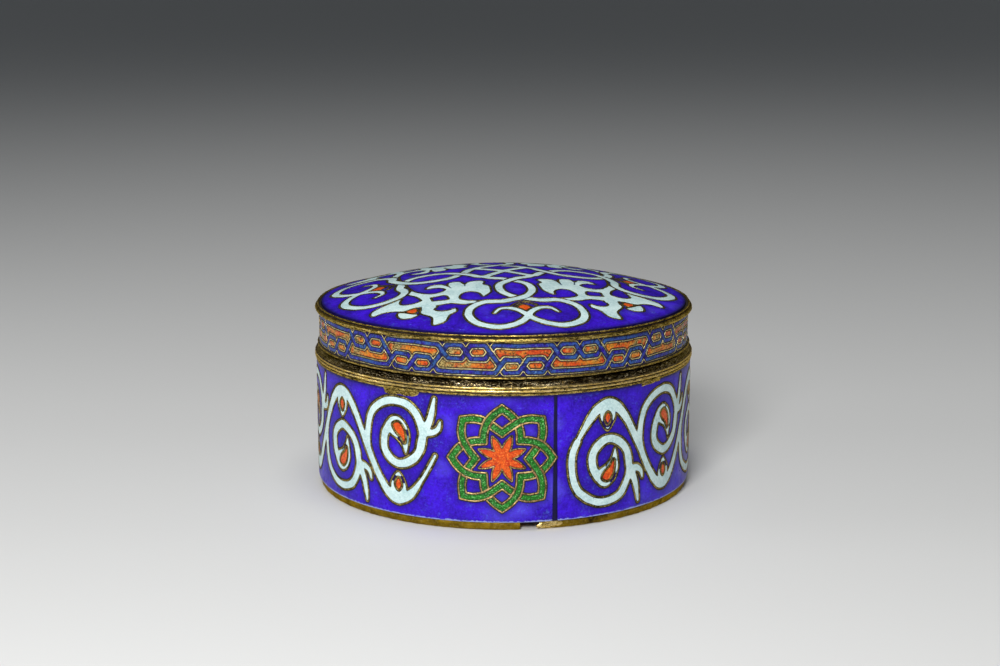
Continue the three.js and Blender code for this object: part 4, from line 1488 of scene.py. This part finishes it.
def band():
    straps, bars, spots = (one_repeat(field) for field in band_fields())
    places = [
        on_cylinder(bar_radius - POLISH, BAND_AZIMUTH + n * 360 / BAND_REPEATS, band_middle, depth=0.12)
        for n in range(BAND_REPEATS)
    ]
    bar_nodes = [
        "band_bar_" + row + "_" + str(n + 1) for row in ("upper", "lower") for n in range(BAND_REPEATS)
    ]
    blue = enamel_cells("band_blue", straps, places, STRAP, slope=STRAP_SLOPE)
    dressed(blue, "lid", "cobalt_enamel")
    orange = enamel_cells("band_bars", bars, places, AMBER, slope=CELL_SLOPE)
    dressed(orange, "lid", "orange_enamel", *bar_nodes)
    orange = enamel_cells("band_spots", spots, places, LOZENGE, slope=CELL_SLOPE)
    dressed(orange, "lid", "orange_enamel")
    lines = [line for field in (straps, bars, spots) for line in contours(field, BAND_WIRE_AWAY, 0.35)]
    dressed(wires("band_wires", lines, places, 0.17, BRIGHT_WIRE, 1.8, 1.5), "lid", "gilt")


# The dome's ornament, drawn in millimetres with y outwards along each of its four axes

dome_ring = [
    (0.9, 27.6), (5.4, 29), (10.3, 28.5), (13.8, 30.8), (15.5, 35), (14.6, 39.6), (12, 42.3),
    (8, 43.8), (4.1, 42.8), (1.2, 40.4), (0, 38.6), (-1.6, 35.9), (-4.1, 33.9), (-6.7, 33.8), (-8.5, 36),
]
dome_strand = [
    (0.9, 27.6), (-2.4, 25.3), (-4.1, 22.4), (-4.5, 19.2), (-3.5, 15.1),
    (-0.5, 12), (2.4, 9.6), (5.6, 7.8), (6.5, 6.5),
]
dome_fan = [
    (9.9, 24.3), (7.6, 21.6), (7.1, 18.6), (7.0, 15.8), (8.2, 14.2), (7.7, 11.1), (9.6, 10.2),
    (11.6, 10.6), (13.0, 12.7), (14.0, 9.3), (16.3, 8.9), (17.5, 11.7), (18.9, 9.3), (20.7, 8.9),
    (22.3, 9.8), (22.9, 11.4), (21.0, 11.6), (19.3, 12.7), (18.4, 14.6), (19.4, 16.2), (21.7, 17.0),
    (25.1, 15.4), (26.2, 17.2), (25.2, 18.9), (22.7, 19.3), (19.3, 19.7), (19.0, 23.3),
    (23.2, 22.8), (25.4, 23.1), (26.1, 25.7), (22.4, 25.9), (19.2, 26.1), (15.3, 28.2),
    (10.3, 27.5), (14.3, 26.1), (16.2, 24.3), (16.0, 21.9), (15.0, 20.2), (13.1, 19.3),
    (11.2, 20.2), (10.3, 21.7),
]
dome_stem = [(28.3, 3.5), (28.2, 7.4), (27.2, 12.4), (25.1, 16.8), (24.4, 21), (25.4, 26), (25.6, 29.5)]
dome_upper_leaf = [
    (25.4, 20.6), (27.4, 21.6), (29.6, 21.4), (31.2, 19.8), (31.1, 18), (30.4, 15.7), (31.8, 16.6),
    (34.9, 18), (38.2, 19.9), (39.1, 21.8), (38.8, 23.1), (36.1, 22.7), (33.6, 23.5), (31, 25.1),
    (28, 24.6), (26, 25),
]
dome_lower_leaf = [
    (24.6, 25.2), (27.1, 28.4), (24.8, 33.2), (24.9, 37.6), (22.4, 36.9), (20.3, 33.4), (18.2, 31.7),
    (18.3, 30.2), (20.4, 30.8), (22.6, 30.2), (23.7, 28.4), (22.8, 26.4),
]
dome_bud = [(27.9, 25.6), (30.4, 25.7), (29.2, 28), (27.8, 27.1)]
dome_petal = [(29.2, 28.5), (31.2, 26.4), (32.2, 25.6), (32.4, 29.4), (29.8, 30.5), (28.1, 29.5)]
dome_notches = [[(13.0, 12.2), (13.4, 15.4)], [(17.5, 11.2), (17.0, 14.2)], [(20.9, 11.8), (19.0, 13.6)]]
dome_diamond = [(-0.2, 32.0), (1.6, 33.9), (-0.2, 36.5), (-1.9, 33.5)]
dome_cap = [(-3.4, 33), (-1.6, 31.1), (0, 30.3), (1.8, 30.8), (3.2, 31.9)]

STRAP_HALF = 1.12

# Where an axis's two straps cross: distance from the dome's middle, and how far round it one is cut
INNER_CROSSING = (12.4, 4.5)
OUTER_CROSSING = (27.2, 4.0)


def dome_fields():
    """The pale and the red cells of the whole dome."""
    whole = Field(-47, 47, -47, 47)
    red = whole.blank()

    def as_drawn(points):
        return np.array(points, float)

    for n in range(4):
        turn = 90 * n
        straps = []
        for side in (as_drawn, mirrored):
            ring = rotated(side(smooth(dome_ring)), turn)
            strand = rotated(side(smooth(dome_strand)), turn)
            strap = whole.blank().strand(ring, tapered(ring, 2 * STRAP_HALF, 0.35, 6))
            straps.append(strap.strand(strand, STRAP_HALF))
        plain, other = straps
        for upper, lower, out, reach in ((plain, other, *INNER_CROSSING), (other, plain, *OUTER_CROSSING)):
            lower.under(upper, LACE_GAP, rotated([(0, out)], turn)[0], reach)
        whole.add(plain, other)
        whole.strand(rotated(smooth(dome_cap), turn), 0.28)
        red.patch(rotated(smooth(dome_diamond, closed=True), turn))
    for turn in (45, -45):
        whole.strand(rotated([(0, -8.6), (0, 8.6)], turn), STRAP_HALF)
    palmettes = whole.blank()
    notches = whole.blank()
    for turn in (0, 180):
        for side in (as_drawn, mirrored):
            for outline in (dome_fan, dome_upper_leaf, dome_lower_leaf, dome_petal):
                palmettes.patch(rotated(side(smooth(outline, 0.5, True)), turn))
            palmettes.strand(rotated(side(smooth(dome_stem)), turn), STRAP_HALF)
            for notch in dome_notches:
                notches.strand(rotated(side(as_drawn(notch)), turn), 0.02)
            red.patch(rotated(side(smooth(dome_bud, closed=True)), turn))
    palmettes.under(notches, 0.2).under(whole, LACE_GAP)
    whole.add(palmettes)
    red.under(whole, LACE_GAP)
    whole.roughened(101, 0.05)
    return whole, red


def dome_ornament(pale, red):
    place = on_dome()
    knots = ["dome_knot_" + side for side in ("front", "right", "back", "left")]
    corners = ["dome_palmette_" + side for side in ("front_right", "back_right", "back_left", "front_left")]
    diamonds = ["dome_diamond_" + side for side in ("front", "right", "back", "left")]
    piece = enamel_cells("dome_pale", pale, [place], PALE)
    dressed(piece, "lid", "pale_enamel", *knots, *corners, "dome_cross")
    dressed(enamel_cells("dome_red", red, [place], ORANGE), "lid", "orange_enamel", *diamonds)
    lines = contours(pale, WIRE_AWAY) + contours(red, WIRE_AWAY)
    dressed(wires("dome_wires", lines, [place], WIRE_WIDTH, WIRE), "lid", "gilt")


# The picture

FLOOR_REACH = 14000
FLOOR_COLOR = (0.62, 0.62, 0.61)
SKY_COLOR = (0.88, 0.94, 1.0, 1)
CAMERA_PLACE = (-0.92, -457.2, 133.5)
CAMERA_DOWN = 11.66
CAMERA_LENS = 62.7
LIGHTS_AIM = (0, 0, 25)

# Soft lights: name, place, width and power in watts
SOFTBOXES = [
    ("key", (-110, -528, 335), 190, 3.95),
    ("fill", (420, -380, 220), 240, 0.05),
    ("top", (0, -60, 1300), 620, 6.0),
    ("left", (-560, -40, 180), 200, 0.55),
    ("right", (560, -20, 220), 140, 0.18),
]


def placed(name, data, place):
    """A light or a camera in the scene, at a place."""
    thing = bpy.data.objects.new(name, data)
    thing.location = Vector(place) * MM
    bpy.context.scene.collection.objects.link(thing)
    return thing


def lit_world():
    """A weak light from above, and a soft glow low behind the box on both sides."""
    world = bpy.data.worlds.new("studio")
    world.use_nodes = True
    sky = Nodes(world.node_tree, "Generated")
    split = sky.node("SeparateXYZ", Vector=sky.place).outputs
    overhead = sky.ramp(split["Z"], 0.15, 0.9, 0.02, 0.11)
    sideways = sky.ramp(sky.math("ABSOLUTE", split["X"]), 0.26, 0.50, 0, 0.4)
    behind = sky.ramp(split["Y"], 0.25, 0.70)
    low = sky.ramp(split["Z"], 0.25, 0.60, 1, 0)
    glow = sky.math("MULTIPLY", sky.math("MULTIPLY", sideways, behind), low)
    background = world.node_tree.nodes["Background"]
    sky.join(background.inputs["Strength"], sky.math("ADD", overhead, glow))
    background.inputs["Color"].default_value = SKY_COLOR
    bpy.context.scene.world = world


def studio():
    """A plain pale floor, soft lights and the camera at the photograph's angle."""
    corners = [(x * FLOOR_REACH, y * FLOOR_REACH, 0) for x, y in ((-1, -1), (1, -1), (1, 1), (-1, 1))]
    paper = Finish("pale_floor", Roughness=0.7, Base_Color=FLOOR_COLOR)
    make_mesh("floor", corners, [(0, 1, 2, 3)], paper.material)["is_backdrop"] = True
    lit_world()
    bpy.context.scene.view_settings.view_transform = "Standard"
    for name, place, width, power in SOFTBOXES:
        data = bpy.data.lights.new(name, "AREA")
        data.size = width * MM
        data.energy = power
        lamp = placed(name, data, place)
        aim = Vector(LIGHTS_AIM) * MM - lamp.location
        lamp.rotation_euler = aim.to_track_quat("-Z", "Y").to_euler()
    data = bpy.data.cameras.new("camera")
    data.sensor_width = 36
    data.lens = CAMERA_LENS
    data.clip_start = 0.01
    camera = placed("camera", data, CAMERA_PLACE)
    camera.rotation_euler = (math.radians(90 - CAMERA_DOWN), 0, 0)
    bpy.context.scene.camera = camera


studio()
medallion_straps, star = medallion_fields(), star_field()
vine_pale, vine_drops = vine_fields()
dome_pale, dome_red = dome_fields()
dressed(foot_ring(), "box", "gilt", "foot_ring")
dressed(solder_blob(), "box", "gilt")
dressed(solder_patches(), "box", "gilt")
ground = mark_body_ground(body_coat(), [medallion_straps, star, vine_pale, vine_drops])
dressed(ground, "box", "cobalt_enamel", "body_enamel")
dressed(seam_strip(), "box", "cobalt_enamel")
dressed(body_rim(), "box", "gilt", "body_rim")
dressed(rim_fillet(), "box", "gilt")
dressed(inner_collar(), "box", "gilt", "inner_collar")
plain_coats()
medallions(medallion_straps, star)
vines(vine_pale, vine_drops)
dressed(lid_rim(), "lid", "gilt", "lid_rim")
dressed(lid_moulding(), "lid", "gilt", "lid_moulding")
dome_layers([dome_pale, dome_red])
band_coat()
band()
dome_ornament(dome_pale, dome_red)

visual_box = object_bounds()
boxes = [[list(map(float, corner)) for corner in box] for box in (cad_box, visual_box)]
